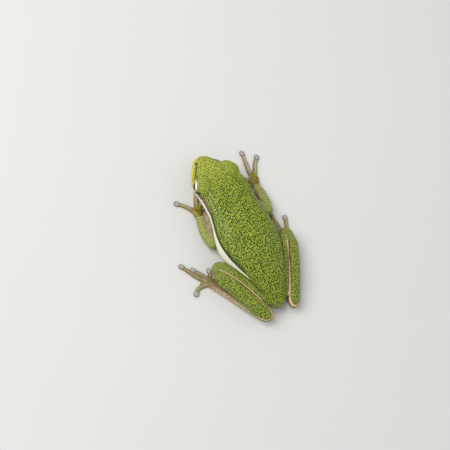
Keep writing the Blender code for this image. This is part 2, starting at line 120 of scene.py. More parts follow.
# The body's cross sections
BODY_BACK = (0.0, 0.35, 1.0, 2.4, 4.0, 6.2, 8.6, 11.0, 14.0, 17.0, 20.0, 25.0, 28.0, 31.0, 35.0,
             40.0, 45.0, 48.0, 49.6, 50.6)
HALF_WIDTH = (0.3, 1.4, 2.3, 3.65, 5.15, 6.55, 7.3, 7.7, 7.9, 8.1, 8.4, 9.5, 9.75, 9.5, 8.2,
              6.1, 4.4, 3.4, 2.3, 0.9)
MIDDLE_LEFT = (0.0, 0.0, 0.0, 0.0, 0.0, -0.05, -0.15, -0.25, -0.3, -0.25, -0.1, 0.0, -0.05, -0.15,
               -0.4, -0.7, -0.8, -0.8, -0.75, -0.7)
TOP_UP = (4.0, 4.8, 5.45, 6.3, 7.1, 8.15, 8.9, 9.45, 9.95, 10.4, 10.9, 11.7, 12.1, 12.1, 11.6,
          10.2, 8.2, 6.8, 5.7, 4.8)
BOTTOM_UP = (2.9, 2.3, 1.9, 1.5, 1.3, 1.15, 1.0, 0.9, 0.7, 0.45, 0.15, -0.2, -0.25, -0.25, -0.2,
             0.3, 1.2, 2.1, 3.0, 3.8)
WIDEST_UP = (3.4, 3.4, 3.45, 3.5, 3.6, 3.7, 3.9, 4.4, 5.4, 6.3, 6.7, 6.4, 6.1, 6.3, 6.8,
             6.8, 5.9, 5.1, 4.6, 4.3)
UPPER_SQUARE = (2.0, 2.0, 2.0, 2.0, 2.1, 2.4, 2.8, 3.0, 2.75, 2.4, 2.2, 2.15, 2.15, 2.15, 2.15,
                2.1, 2.0, 2.0, 2.0, 2.0)
LOWER_SQUARE = (2.0, 2.0, 2.0, 2.0, 2.0, 2.0, 1.95, 1.85, 1.7, 1.55, 1.5, 1.75, 2.0, 2.0, 1.7,
                1.6, 1.7, 1.9, 2.0, 2.0)
SNOUT_TIP = (0.0, 0.0, 3.45)
RUMP_TIP = (-0.7, 50.6, 4.3)

# Each limb: the path of its centre, half widths, half thicknesses and tilt in degrees
UPPER_ARM = {
    "left": (((6.7, 17.0, 4.0), (7.6, 21.0, 4.1), (9.2, 25.2, 3.1)), (1.6, 1.6, 1.45),
             (2.1, 1.7, 1.45), 0),
    "right": (((-6.7, 16.9, 4.1), (-8.9, 20.2, 4.0), (-12.0, 23.2, 3.3)), (1.6, 1.6, 1.45),
              (2.1, 1.7, 1.45), 0),
}
FOREARM = {
    "left": (((9.2, 25.2, 3.1), (9.3, 22.2, 2.6), (9.1, 19.4, 2.2), (8.6, 16.6, 1.55)),
             (1.45, 1.75, 1.6, 1.15), (1.45, 1.5, 1.35, 1.0), 0),
    "right": (((-12.0, 23.2, 3.3), (-12.4, 20.6, 2.7), (-12.7, 17.6, 2.1), (-12.9, 14.9, 1.4)),
              (1.45, 1.75, 1.6, 1.15), (1.45, 1.5, 1.35, 0.95), 0),
}
THIGH = {
    "left": (((2.9, 46.9, 4.3), (4.4, 43.3, 4.9), (6.4, 38.8, 5.2), (9.1, 35.0, 5.2),
              (11.6, 32.3, 4.9)), (1.9, 2.35, 2.4, 2.3, 2.15), (1.9, 2.35, 2.35, 2.3, 2.1), 0),
    "right": (((-4.2, 46.8, 4.3), (-5.6, 43.2, 4.8), (-7.6, 38.8, 5.0), (-10.4, 34.9, 5.1),
               (-12.9, 32.0, 4.9)), (1.7, 2.1, 2.2, 2.2, 2.15), (1.7, 2.1, 2.2, 2.2, 2.1), 0),
}
SHANK = {
    "left": (((11.6, 32.3, 4.9), (11.7, 35.0, 5.0), (9.85, 38.6, 5.1), (7.45, 43.5, 5.0),
              (5.55, 47.8, 4.6), (4.25, 50.35, 4.0)), (2.15, 2.4, 2.55, 2.55, 2.5, 2.4),
             (2.1, 1.85, 1.7, 1.6, 1.6, 1.6), -44),
    "right": (((-12.9, 32.0, 4.9), (-13.1, 35.0, 5.1), (-11.7, 38.8, 5.3), (-9.35, 43.8, 5.3),
               (-7.1, 48.2, 4.8), (-6.1, 50.55, 4.2)), (2.15, 2.3, 2.5, 2.55, 2.5, 2.4),
              (2.1, 1.85, 1.7, 1.6, 1.6, 1.6), 36),
}
TARSUS = {
    "left": (((4.5, 50.2, 2.0), (6.8, 46.9, 1.4), (10.4, 41.1, 1.15), (14.2, 35.2, 1.05)),
             (1.45, 1.35, 1.3, 1.3), (1.3, 1.25, 1.2, 1.05), 0),
    "right": (((-6.4, 50.2, 2.0), (-8.1, 46.8, 1.4), (-10.8, 41.2, 1.15), (-13.2, 35.6, 1.05)),
              (1.4, 1.3, 1.25, 1.3), (1.3, 1.25, 1.2, 1.05), 0),
}
LIMBS = {"upper_arm": UPPER_ARM, "forearm": FOREARM, "thigh": THIGH, "shank": SHANK,
         "tarsus": TARSUS}

# Fingers and toes, left and back, and the two ends of each palm and sole
FINGERS = {
    "left": (((8.0, 14.6), (6.1, 14.5), (4.6, 14.4)),
             ((8.0, 14.2), (5.9, 12.8), (4.2, 11.3)),
             ((8.0, 14.0), (6.9, 11.8), (6.1, 10.1), (5.4, 8.5)),
             ((8.4, 14.6), (9.5, 13.0), (10.8, 11.4), (12.7, 9.8))),
    "right": (((-13.0, 13.8), (-11.6, 14.1), (-10.2, 14.2)),
              ((-13.1, 13.2), (-11.3, 12.2), (-9.6, 11.0)),
              ((-13.4, 12.4), (-13.3, 9.9), (-13.6, 7.2), (-13.9, 4.4)),
              ((-13.9, 12.5), (-15.1, 10.9), (-16.2, 9.0), (-17.8, 7.3))),
}
PALM = {
    "left": ((8.45, 16.2, 1.25), (8.1, 14.5, 0.95)),
    "right": ((-12.95, 14.8, 1.2), (-13.5, 12.9, 0.95)),
}
TOES = {
    "left": (((13.9, 34.8), (12.2, 34.9), (10.9, 34.4)),
             ((14.2, 34.1), (13.2, 33.0), (12.8, 31.6)),
             ((14.3, 33.8), (15.7, 31.5), (17.4, 29.3)),
             ((14.7, 34.2), (16.9, 32.0), (18.7, 29.2), (20.1, 26.9)),
             ((14.6, 35.2), (16.6, 34.7), (18.4, 34.9), (19.6, 36.0))),
    "right": (((-12.9, 34.6), (-11.8, 33.0), (-11.3, 31.4)),
              ((-13.1, 34.2), (-12.2, 31.3), (-11.7, 28.6)),
              ((-13.3, 33.8), (-13.2, 30.0), (-12.4, 26.6), (-11.7, 24.9)),
              ((-13.6, 33.8), (-14.2, 30.0), (-13.9, 26.6), (-13.6, 24.3)),
              ((-13.9, 34.2), (-15.8, 31.8), (-16.8, 29.6), (-17.5, 27.5))),
}
SOLE = {
    "left": ((14.2, 35.2, 1.05), (14.6, 34.2, 0.95)),
    "right": ((-13.2, 35.6, 1.05), (-13.4, 34.2, 0.95)),
}
HANDS_AND_FEET = {"hand": (FINGERS, PALM), "foot": (TOES, SOLE)}
PALM_SIZE = (1.25, 1.6)
SOLE_SIZE = (1.25, 1.45)
BASE_THICKNESS = (1.0, 0.8)
# Reach of a palm's or sole's own skin from its middle, and of a wrist's folds from the wrist
BASE_REACH = 1.6
WRIST_REACH = 2.3
# The toes that a web joins, and how far along them it reaches
WEBS = ((1, 2, 0.5), (2, 3, 0.62), (3, 4, 0.62))

# Three places on the crease where a folded leg or arm lies against itself, the joint's first
KNEE_FOLD = {
    "left": ((11.4, 32.1, 5.0), (2.4, 48.8, 5.0), (13.2, 32.1, 10.0)),
    "right": ((-12.7, 31.9, 5.0), (-4.4, 48.9, 5.0), (-14.5, 31.9, 10.0)),
}
ELBOW_FOLD = {
    "left": ((9.2, 25.2, 3.1), (8.0, 16.0, 2.9), (11.6, 25.2, 5.2)),
    "right": ((-12.0, 23.2, 3.3), (-9.6, 15.5, 2.9), (-14.4, 23.2, 5.4)),
}
ELBOW_TIPS = ((9.2, 26.4, 2.9), (-12.0, 24.4, 3.1))
# Each fold's places, the two halves that meet there and the strength of their crease
FOLDS = ((KNEE_FOLD, "thigh", "shank", 1.0), (ELBOW_FOLD, "upper_arm", "forearm", 0.5))

# The pale stripe along the lip and flank: its upper and lower edges
STRIPE_BACK = (0.0, 3.0, 5.5, 7.0, 8.5, 10.0, 12.0, 15.0, 17.6, 21.2, 24.2, 26.8, 29.7, 33.5,
               36.5, 40.0)
STRIPE_TOP = (4.5, 4.5, 4.5, 4.7, 5.7, 6.5, 6.35, 6.8, 7.4, 7.4, 7.7, 8.0, 8.4, 8.7, 8.5, 7.9)
STRIPE_FOOT = (3.3, 3.3, 3.35, 3.5, 3.7, 4.3, 4.9, 5.7, 6.3, 6.2, 6.1, 5.5, 5.2, 6.4, 7.7, 7.9)

# Points along the pale line on each shank's inner edge and round its heel, and its half widths
SHANK_LINE = {
    "left": ((12.0, 32.8, 6.9), (10.9, 34.1, 7.0), (9.1, 36.9, 7.1), (7.0, 40.6, 7.05),
             (5.0, 44.7, 6.65), (3.3, 48.7, 6.1), (2.9, 50.2, 5.85), (2.9, 51.2, 5.55),
             (3.3, 51.85, 5.1), (4.0, 52.15, 4.75), (5.05, 51.85, 4.45), (5.95, 51.1, 4.15),
             (6.7, 50.0, 3.9)),
    "right": ((-11.3, 33.7, 7.2), (-10.25, 36.4, 7.1), (-8.85, 40.2, 6.3), (-7.5, 42.8, 6.3),
              (-6.4, 45.3, 5.95), (-5.35, 47.6, 5.6), (-4.5, 49.3, 5.7), (-4.2, 50.6, 5.55),
              (-4.45, 51.5, 5.4), (-5.2, 52.15, 5.2), (-6.2, 52.3, 4.9), (-6.9, 51.8, 4.95)),
}
LINE_STEPS = 160
SHANK_LINE_HALF = {"left": (0.2, 0.28, 0.34), "right": (0.26, 0.4, 0.5)}

# Where markings fade in and out: back from the snout, or up from the floor
SNOUT_FADE = (15.0, 2.0)
FLANK_START, FLANK_END = (9.0, 10.5), (37.5, 35.5)
TEMPLE_START, TEMPLE_END = (9.4, 10.4), (18.5, 15.0)
RUMP_BACK, RUMP_PALE_UP = (37.0, 41.0), (3.4, 1.8)
VENT_BACK, VENT_UP = (47.5, 49.5), (6.2, 5.2)
TEMPLE_FOLD_START, TEMPLE_FOLD_END = (9.6, 11.0), (19.0, 15.0)

# Colours of the smaller markings; some are painted shade, and one is partly a painted reflection
MOSS = (0.12, 0.22, 0.02)
# Duller knees; their furrow colour is painted shade between the granules
KNEE_FURROW_SHADE, KNEE_GREEN = (0.19, 0.20, 0.03), (0.30, 0.33, 0.07)
CANTHUS_GREEN = (0.05, 0.085, 0.006)
STRIPE_SHADE = (0.03, 0.04, 0.01)
STREAK_BLACK = (0.02, 0.015, 0.008)
TAN_FLECK = (0.20, 0.13, 0.06)
# Pinkish brown of the folded arms' insides, partly painted shade
ARM_PINK_DARK, ARM_PINK = (0.27, 0.19, 0.10), (0.42, 0.32, 0.21)
PALM_BROWN, PALM_FLECK = (0.15, 0.11, 0.02), (0.20, 0.12, 0.02)
WEB_OLIVE = (0.34, 0.29, 0.03)
DIGIT_RIDGE = (0.50, 0.48, 0.34)
TARSUS_DARK, TARSUS_PALE = (0.30, 0.22, 0.12), (0.66, 0.54, 0.34)
WRIST_FOLD = (0.56, 0.56, 0.36)
PAD_EDGE = (0.13, 0.10, 0.07)
LIP_YELLOW = (0.86, 0.72, 0.03)
# Painted shade in the creases between folded limbs and where limbs meet the body
PAINTED_CREASE_SHADE = (0.045, 0.05, 0.012)
SHANK_LINE_EDGE = (0.05, 0.04, 0.01)
FLECK_YELLOW = (0.80, 0.66, 0.04)
# Painted shade along the mouth line
PAINTED_MOUTH_SHADE = (0.05, 0.04, 0.015)
# Painted shade in the nostrils
PAINTED_NOSTRIL_SHADE = (0.025, 0.012, 0.006)
# The iris's pale top is partly its own colour and partly a painted reflection of the light above
IRIS_PALE_AND_REFLECTION, IRIS_BAND = (0.93, 0.88, 0.76), (0.16, 0.09, 0.04)
PUPIL_EDGE, PUPIL_BLACK = (0.55, 0.42, 0.22), (0.004, 0.004, 0.005)
UPPER_LID_DARK, UPPER_LID = (0.16, 0.20, 0.03), (0.30, 0.33, 0.09)
LOWER_LID_DARK, LOWER_LID = (0.62, 0.44, 0.18), (0.80, 0.66, 0.36)

# The camera stands over the frog's left side and is turned about its own line of sight
CAMERA_TILT = math.radians(25)
CAMERA_ROLL = math.radians(26)
CAMERA_TARGET = (2.658, -5.440, 2.677)
CAMERA_DISTANCE = 0.368
CAMERA_VIEW_WIDTH = 0.13257
SENSOR_WIDTH = 36.0
FLOOR_HALF_SIZE = 6.0
# Each light: its name, place, size and share of the main light's power
LIGHTS = (("key", (0.34, -0.26, 0.50), 0.35, 1.0), ("fill", (-0.45, 0.15, 0.40), 0.6, 0.15))
WORLD_LIGHT = 0.42


class SkinSettings(PropertyGroup):
    """Sizes and colours of the skin."""

    voxel: FloatProperty(name="Fineness", description="Spacing of the skin's points",
                         default=0.00026, unit="LENGTH")
    grain: FloatProperty(name="Granule size", description="Distance between skin granules",
                         default=0.00050, unit="LENGTH")
    green: FloatVectorProperty(name="Granule green", description="Green of the granules' tops",
                               subtype="COLOR", default=(0.29, 0.40, 0.02))
    tip: FloatVectorProperty(name="Granule tips", description="The palest granules' tops",
                             subtype="COLOR", default=(0.51, 0.60, 0.07))
    # The furrow colour is painted shade between the granules
    furrow_shade: FloatVectorProperty(name="Furrow green", description="Green between the granules",
                                subtype="COLOR", default=(0.014, 0.042, 0.001))
    snout: FloatVectorProperty(name="Snout yellow", description="Yellow-green of the snout",
                               subtype="COLOR", default=(0.60, 0.66, 0.09))
    limb: FloatVectorProperty(name="Arm green", description="Paler green of arms and legs",
                              subtype="COLOR", default=(0.50, 0.53, 0.15))
    cream: FloatVectorProperty(name="Stripe cream", description="Stripe on lip and flank",
                               subtype="COLOR", default=(0.97, 0.92, 0.75))
    blush: FloatVectorProperty(name="Shank line", description="Pale line along the shank",
                               subtype="COLOR", default=(0.80, 0.55, 0.33))
    belly: FloatVectorProperty(name="Belly", description="Cream of throat and belly",
                               subtype="COLOR", default=(0.72, 0.68, 0.48))
    # The tan also stands as painted shade on the limbs' undersides and, partly, inside the folded
    # arms
    tan: FloatVectorProperty(name="Tan", description="Brown of hands, feet and hidden skin",
                             subtype="COLOR", default=(0.26, 0.185, 0.09))
    palm: FloatVectorProperty(name="Palm", description="Olive yellow of the hands and webs",
                              subtype="COLOR", default=(0.21, 0.19, 0.015))
    pad: FloatVectorProperty(name="Pads", description="Pale grey of the finger and toe pads",
                             subtype="COLOR", default=(0.43, 0.40, 0.36))
    # Partly painted shade under the fold behind the eye
    plum: FloatVectorProperty(name="Temple", description="Dull purple behind the eye",
                              subtype="COLOR", default=(0.25, 0.15, 0.11))


class EyeSettings(PropertyGroup):
    """Sizes and colours of the eyes."""

    radius: FloatProperty(name="Eye radius", description="Radius of the eyeball",
                          default=0.0023, unit="LENGTH")
    iris: FloatVectorProperty(name="Iris", description="Gold of the lower iris",
                              subtype="COLOR", default=(0.55, 0.38, 0.14))
    rim: FloatVectorProperty(name="Eye rim", description="Dark bronze round the iris",
                             subtype="COLOR", default=(0.09, 0.05, 0.02))


class StageSettings(PropertyGroup):
    """The floor, lights and camera."""

    floor: FloatVectorProperty(name="Floor", description="Colour of the floor",
                               subtype="COLOR", default=(0.80, 0.80, 0.78))
    key_power: FloatProperty(name="Key light", description="Power of the main light",
                             default=3.1, unit="POWER")
    distance: FloatProperty(name="Camera distance", description="From camera to frog",
                            default=CAMERA_DISTANCE, unit="LENGTH")


def at(left, back, up):
    """A place on the frog in metres, from millimetres left, back and up."""
    return np.stack(np.broadcast_arrays(left, np.subtract(back, BELLY_BACK), up), -1) * MM


def curve_through(stations, values):
    """A cubic through a few values, with harmonic-mean slopes so that it doesn't overshoot."""
    x = np.asarray(stations, float)
    y = np.asarray(values, float)
    step = np.diff(x)
    slope = np.diff(y) / step
    tangent = np.concatenate([slope[:1], np.zeros(len(x) - 2), slope[-1:]])
    turning = slope[:-1] * slope[1:] <= 0
    before = np.where(turning, 1.0, slope[:-1])
    after = np.where(turning, 1.0, slope[1:])
    tangent[1:-1] = np.where(turning, 0.0, 2 * before * after / (before + after))

    def value(place):
        place = np.clip(np.asarray(place, float), x[0], x[-1])
        i = np.clip(np.searchsorted(x, place, side="right") - 1, 0, len(step) - 1)
        t = (place - x[i]) / step[i]
        ends = y[i] * (2 * t**3 - 3 * t**2 + 1) + y[i + 1] * (3 * t**2 - 2 * t**3)
        leaving = tangent[i] * (t**3 - 2 * t**2 + t)
        arriving = tangent[i + 1] * (t**3 - t**2)
        return ends + step[i] * (leaving + arriving)

    return value


half_width = curve_through(BODY_BACK, HALF_WIDTH)
middle_left = curve_through(BODY_BACK, MIDDLE_LEFT)
top_up = curve_through(BODY_BACK, TOP_UP)
bottom_up = curve_through(BODY_BACK, BOTTOM_UP)
widest_up = curve_through(BODY_BACK, WIDEST_UP)
upper_square = curve_through(BODY_BACK, UPPER_SQUARE)
lower_square = curve_through(BODY_BACK, LOWER_SQUARE)
stripe_top = curve_through(STRIPE_BACK, STRIPE_TOP)
stripe_foot = curve_through(STRIPE_BACK, STRIPE_FOOT)


def mouth_up(back):
    """The mouth line's height: level ahead of 5 mm back, then rising as a square."""
    return 3.3 + 0.6 * np.clip((back - 5) / 6, 0, 1) ** 2


def smooth_step(low, high, value):
    """0 at low, 1 at high and 3t^2 - 2t^3 between them."""
    t = np.clip((value - low) / (high - low), 0, 1)
    return t * t * (3 - 2 * t)


def bell(distance, width):
    """exp(-(d/w)^2)."""
    return np.exp(-((distance / width) ** 2))


def pressed(distance, depth, width):
    """A depth times a bell of the distance."""
    return depth * bell(distance, width)


def turn_head(points, way=1):
    """Turn points ahead of the neck to the left, by an angle that grows over the neck."""
    pivot = at(0.0, HEAD_PIVOT_BACK, 0.0)
    ahead = np.clip((pivot[1] - points[..., 1]) / (NECK_LENGTH * MM), 0, 1)
    angle = way * HEAD_TURN * ahead
    flat = points - pivot
    x = flat[..., 0] * np.cos(angle) - flat[..., 1] * np.sin(angle)
    y = flat[..., 0] * np.sin(angle) + flat[..., 1] * np.cos(angle)
    return np.stack([x, y, flat[..., 2]], -1) + pivot


def table_place(points):
    """Millimetres left, back and up, as the tables give them."""
    return points / MM + (0, BELLY_BACK, 0)


def straightened(points):
    """Millimetres left, back and up, with the head's turn taken out."""
    return table_place(turn_head(points, -1))


def lid_place(side):
    """The middle of the bulge over an eye, on a head that looks straight ahead."""
    left, back, up = EYE_PLACE
    return side * (left - LID_INSET), back + LID_BEHIND, up - LID_DROP


def course_through(path, count):
    """Even steps along a smooth curve through a path's points, with places and directions."""
    path = np.asarray(path, float)
    knots = np.arange(len(path))
    along = np.linspace(0, len(path) - 1, count)
    centre = np.stack([curve_through(knots, path[:, k])(along) for k in range(3)], 1)
    forward = np.gradient(centre, axis=0)
    return along, centre, forward / np.linalg.norm(forward, axis=1)[:, None]


def limb_course(path, broad, thin, tilt, count=60):
    """Centres, directions and half sizes along a limb, smooth between the given joints."""
    along, centre, forward = course_through(path, count)
    side = np.cross(forward, (0, 0, 1))
    side /= np.linalg.norm(side, axis=1)[:, None]
    up = np.cross(side, forward)
    lean = math.radians(tilt)
    wide = math.cos(lean) * side + math.sin(lean) * up
    narrow = math.cos(lean) * up - math.sin(lean) * side
    knots = np.arange(len(path))
    half_broad, half_thin = (curve_through(knots, sizes)(along) for sizes in (broad, thin))
    return centre, forward, wide, narrow, half_broad, half_thin


def body_rings(back, sides):
    """Two half superellipses a ring: |across|^n + |above|^n = 1, scaled to width and height."""
    b = np.asarray(back, float)[:, None]
    angle = np.linspace(0, 2 * np.pi, sides, endpoint=False)[None, :]
    c, s = np.cos(angle), np.sin(angle)
    square = np.where(s > 0, upper_square(b), lower_square(b))
    across = np.sign(c) * np.abs(c) ** (2 / square)
    above = np.sign(s) * np.abs(s) ** (2 / square)
    middle = widest_up(b)
    height = np.where(s > 0, top_up(b) - middle, middle - bottom_up(b))
    return at(middle_left(b) + half_width(b) * across, b, middle + height * above)


def limb_rings(path, broad, thin, tilt=0.0, sides=32, count=40):
    """An ellipse carried along the limb's course, closed by a half ellipsoid at each end."""
    centre, forward, wide, narrow, half_broad, half_thin = limb_course(
        path, broad, thin, tilt, count)
    swing = np.linspace(0.06, 0.5, 8)[:-1] * np.pi
    first = -half_broad[0] * np.cos(swing)
    last = half_broad[-1] * np.cos(swing[::-1])
    pick = np.concatenate([np.zeros(7, int), np.arange(count), np.full(7, count - 1)])
    shift = np.concatenate([first, np.zeros(count), last])
    shrink = np.concatenate([np.sin(swing), np.ones(count), np.sin(swing[::-1])])
    middle = centre[pick] + forward[pick] * shift[:, None]
    angle = np.linspace(0, 2 * np.pi, sides, endpoint=False)[None, :, None]
    shape = middle[:, None, :] + (
        np.cos(angle) * wide[pick][:, None, :] * (half_broad[pick] * shrink)[:, None, None]
        + np.sin(angle) * narrow[pick][:, None, :] * (half_thin[pick] * shrink)[:, None, None]
    )
    start = centre[0] - forward[0] * half_broad[0]
    end = centre[-1] + forward[-1] * half_broad[-1]
    return tuple(at(p[..., 0], p[..., 1], p[..., 2]) for p in (shape, start, end))


def ball_rings(centre, radii, forward, sides=32, count=20):
    """An ellipsoid: circles of latitude about the given level direction."""
    lengthwise = np.asarray(forward, float) / np.linalg.norm(forward)
    side = np.cross(lengthwise, (0, 0, 1))
    side /= np.linalg.norm(side)
    up = np.cross(side, lengthwise)
    tilt = np.linspace(0, np.pi, count + 1)[1:-1, None, None]
    turn = np.linspace(0, 2 * np.pi, sides, endpoint=False)[None, :, None]
    shape = (
        -np.cos(tilt) * lengthwise * radii[0]
        + np.sin(tilt) * np.cos(turn) * side * radii[1]
        + np.sin(tilt) * np.sin(turn) * up * radii[2]
    )
    ends = lengthwise * radii[0]
    return shape + centre, centre - ends, centre + ends


def grid_quads(rows, columns, round_rows, round_columns):
    """Faces between neighbours in a grid of points, closed round where asked."""
    i, j = np.meshgrid(np.arange(rows - (not round_rows)),
                       np.arange(columns - (not round_columns)), indexing="ij")
    i2, j2 = (i + 1) % rows, (j + 1) % columns
    quads = (i * columns + j, i * columns + j2, i2 * columns + j2, i2 * columns + j)
    return np.stack(quads, -1).reshape(-1, 4)


def tube_form(rings, start, end):
    """Points, quads and triangles of a tube through rings, closed by a point at each end."""
    count, sides = rings.shape[:2]
    ring = np.arange(sides)
    after = np.roll(ring, -1)
    last = (count - 1) * sides
    near = np.stack([after, ring, np.full(sides, count * sides)], 1)
    far = np.stack([last + ring, last + after, np.full(sides, count * sides + 1)], 1)
    points = np.vstack([rings.reshape(-1, 3), start, end])
    return points, grid_quads(count, sides, False, True), np.vstack([near, far])


def join_forms(forms):
    """Many forms as one list of points and one of faces."""
    faces, start = [], 0
    for points, quads, triangles in forms:
        faces += (quads + start).tolist() + (triangles + start).tolist()
        start += len(points)
    return np.vstack([points for points, _, _ in forms]), faces


def mesh_from(name, points, faces):
    """A mesh of the given points and faces."""
    mesh = bpy.data.meshes.new(name)
    mesh.from_pydata(np.asarray(points).tolist(), [], faces)
    mesh.validate()
    return mesh


def mesh_points(mesh):
    """The mesh's points as rows of an array."""
    flat = np.empty(len(mesh.vertices) * 3)
    mesh.vertices.foreach_get("co", flat)
    return flat.reshape(-1, 3)


def mesh_normals(mesh):
    """The mesh's point normals as rows of an array."""
    flat = np.empty(len(mesh.vertices) * 3)
    mesh.vertex_normals.foreach_get("vector", flat)
    return flat.reshape(-1, 3)


def put_points(mesh, points):
    """Move the mesh's points."""
    mesh.vertices.foreach_set("co", points.ravel())
    mesh.update()


def set_attribute(mesh, name, values):
    """Store a value at each of the mesh's points, for materials to read."""
    layer = mesh.attributes.new(name, "FLOAT", "POINT")
    layer.data.foreach_set("value", np.asarray(values, np.float32))


def face_outward(mesh, centre):
    """Turn the faces round if the first one looks towards the centre."""
    face = mesh.polygons[0]
    if np.dot(face.normal, np.array(face.center) - centre) < 0:
        mesh.flip_normals()


def add_piece(name, mesh, material):
    """Put a mesh in the scene as a piece that rides on the frog."""
    piece = bpy.data.objects.new(name, mesh)
    bpy.context.scene.collection.objects.link(piece)
    mesh.materials.clear()
    mesh.materials.append(material)
    mesh.shade_smooth()
    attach(piece, "root")
    return piece


def digit_forms(paths):
    """Each finger or toe as a slim tube along its path, with an ellipsoid pad at its tip."""
    forms = []
    for path in paths:
        centre = [(left, back, DIGIT_UP) for left, back in path]
        girth = np.linspace(DIGIT_RADIUS * 1.2, DIGIT_RADIUS * 0.85, len(centre))
        forms.append(tube_form(*limb_rings(centre, girth, girth, 0, 20, 30)))
        heading = np.subtract(path[-1], path[-2])
        place = at(path[-1][0], path[-1][1], PAD_THICKNESS * 0.75)
        size = np.array([PAD_RADIUS * 1.05, PAD_RADIUS, PAD_THICKNESS]) * MM
        forms.append(tube_form(*ball_rings(place, size, (heading[0], heading[1], 0), 24, 14)))
    return forms


def fold_plane(fold):
    """A point on a crease plane, and its normal towards the body's middle line."""
    joint, along, above = (at(*place) for place in fold)
    normal = np.cross(along - joint, above - joint)
    normal /= np.linalg.norm(normal)
    return joint, normal * (-1 if normal[0] * joint[0] > 0 else 1)


def flatten_on(form, fold, way):
    """Press the part of a form beyond its crease plane flat against that plane."""
    joint, inward = fold_plane(fold)
    points, quads, triangles = form
    depth = np.minimum(((points - joint) @ inward) * way + 0.05 * MM, 0)
    return points - depth[:, None] * inward * way, quads, triangles


def web_form(first, second, reach):
    """A thin sheet between two toes. A loop goes out along its top and back along its underside,
    and is carried from one toe to the other; its free edge bows inwards as a sine."""
    across = np.linspace(0, 1, 12)[:, None]
    out = np.linspace(0.02, 1, 14)[None, :] * (reach * (1 - 0.45 * np.sin(np.pi * across)))
    lines = []
    for path in (first, second):
        path = np.asarray(path, float)
        place = out * (len(path) - 1)
        knots = np.arange(len(path))
        lines.append(np.stack([np.interp(place, knots, path[:, k]) for k in range(2)], -1))
    flat = lines[0] * (1 - across[..., None]) + lines[1] * across[..., None]
    top = at(flat[..., 0], flat[..., 1], WEB_TOP)
    under = at(flat[..., 0], flat[..., 1], WEB_FOOT)
    rings = np.concatenate([top, under[:, ::-1]], axis=1)
    return tube_form(rings, rings[0].mean(0), rings[-1].mean(0))


def flesh_forms():
    """Every rounded form under the skin: body, lids, limbs, hands, feet and webs."""
    back = np.concatenate([[0.03, 0.1, 0.2, 0.35], np.linspace(0.6, 49.8, 150),
                           [50.1, 50.4, 50.55]])
    rings = turn_head(body_rings(back, 110))
    forms = [tube_form(rings, turn_head(at(*SNOUT_TIP)), at(*RUMP_TIP))]
    heading = (math.sin(HEAD_TURN), math.cos(HEAD_TURN), 0)
    for side in (1, -1):
        lid = turn_head(at(*lid_place(side)))
        forms.append(tube_form(*ball_rings(lid, np.array(LID_BULGE) * MM, heading, 48, 32)))
    for side in ("left", "right"):
        for table, fold, way in ((UPPER_ARM, ELBOW_FOLD, 1), (FOREARM, ELBOW_FOLD, -1),
                                 (THIGH, KNEE_FOLD, 1), (SHANK, KNEE_FOLD, -1)):
            forms.append(flatten_on(tube_form(*limb_rings(*table[side])), fold[side], way))
        forms.append(tube_form(*limb_rings(*TARSUS[side])))
        for base, digits, size in ((PALM, FINGERS, PALM_SIZE), (SOLE, TOES, SOLE_SIZE)):
            forms.append(tube_form(*limb_rings(base[side], size, BASE_THICKNESS, 0, 24, 10)))
            forms += digit_forms(digits[side])
        forms += [web_form(TOES[side][a], TOES[side][b], reach) for a, b, reach in WEBS]
    return forms


def remeshed(points, faces, voxel):
    """The outside of overlapping closed forms as one even mesh."""
    mesh = mesh_from("flesh", points, faces)
    source = bpy.data.objects.new("flesh", mesh)
    bpy.context.scene.collection.objects.link(source)
    step = source.modifiers.new("join", "REMESH")
    step.mode = "VOXEL"
    step.voxel_size = voxel
    bpy.context.view_layer.update()
    result = source.evaluated_get(bpy.context.evaluated_depsgraph_get())
    skin = bpy.data.meshes.new_from_object(result)
    bpy.data.objects.remove(source)
    return skin


def relax(points, edges, rounds):
    """Pull each point towards its neighbours' mean and then push it out again, so that the
    surface smooths but doesn't shrink."""
    a, b = edges[:, 0], edges[:, 1]
    total = len(points)
    share = 1 / np.maximum(np.bincount(a, minlength=total) + np.bincount(b, minlength=total), 1)
    for turn in range(rounds * 2):
        mean = np.stack([
            (np.bincount(a, points[b, k], total) + np.bincount(b, points[a, k], total)) * share
            for k in range(3)], 1)
        points = points + (mean - points) * (RELAX_PUSH if turn % 2 else RELAX_PULL)
    return points


def eye_axes(side):
    """The eye's centre and its gaze, lengthwise and upright directions."""
    centre = turn_head(at(side * EYE_PLACE[0], EYE_PLACE[1], EYE_PLACE[2]))
    yaw = HEAD_TURN - side * GAZE_AHEAD
    level = side * math.cos(GAZE_UP)
    gaze = np.array([level * math.cos(yaw), level * math.sin(yaw), math.sin(GAZE_UP)])
    lengthwise = np.cross((0, 0, 1), gaze) * side
    lengthwise /= np.linalg.norm(lengthwise)
    upright = np.cross(gaze, lengthwise) * side
    return centre, gaze, lengthwise, upright


def shape_lids(points, radius):
    """Open the skin round each eye. q is 1 on an ellipse drawn on the eyeball: inside it the skin
    goes behind the eye, and outside it wraps the eye as a lid of even thickness."""
    for side in (1, -1):
        centre, gaze, lengthwise, upright = eye_axes(side)
        offset = points - centre
        reach = np.linalg.norm(offset, axis=1)
        near = reach < LID_REACH * MM
        ray = offset[near] / reach[near, None]
        out, along, above = ray @ gaze, ray @ lengthwise, ray @ upright
        sweep = np.arctan2(along, out)
        rise = np.arctan2(above, np.hypot(along, out))
        tall = np.where(rise > 0, LID_HIGH, LID_LOW)
        q = np.hypot(sweep / LID_LONG, rise / tall)
        inside = 1 - smooth_step(*LID_EDGE, q)
        wrap = radius + LID_THICKNESS * MM * (1 - smooth_step(*LID_FADE, q))
        outer = np.where(q < LID_FADE[1], np.maximum(reach[near], wrap), reach[near])
        goal = outer * (1 - inside) + (radius - SOCKET_DEPTH * MM) * inside
        points[near] = centre + ray * goal[:, None]
    return points


def rows_near(place, course, margin):
    """The rows of the points inside a box round a course."""
    low, high = course.min(0) - margin, course.max(0) + margin
    return np.nonzero(np.all((place > low) & (place < high), 1))[0]


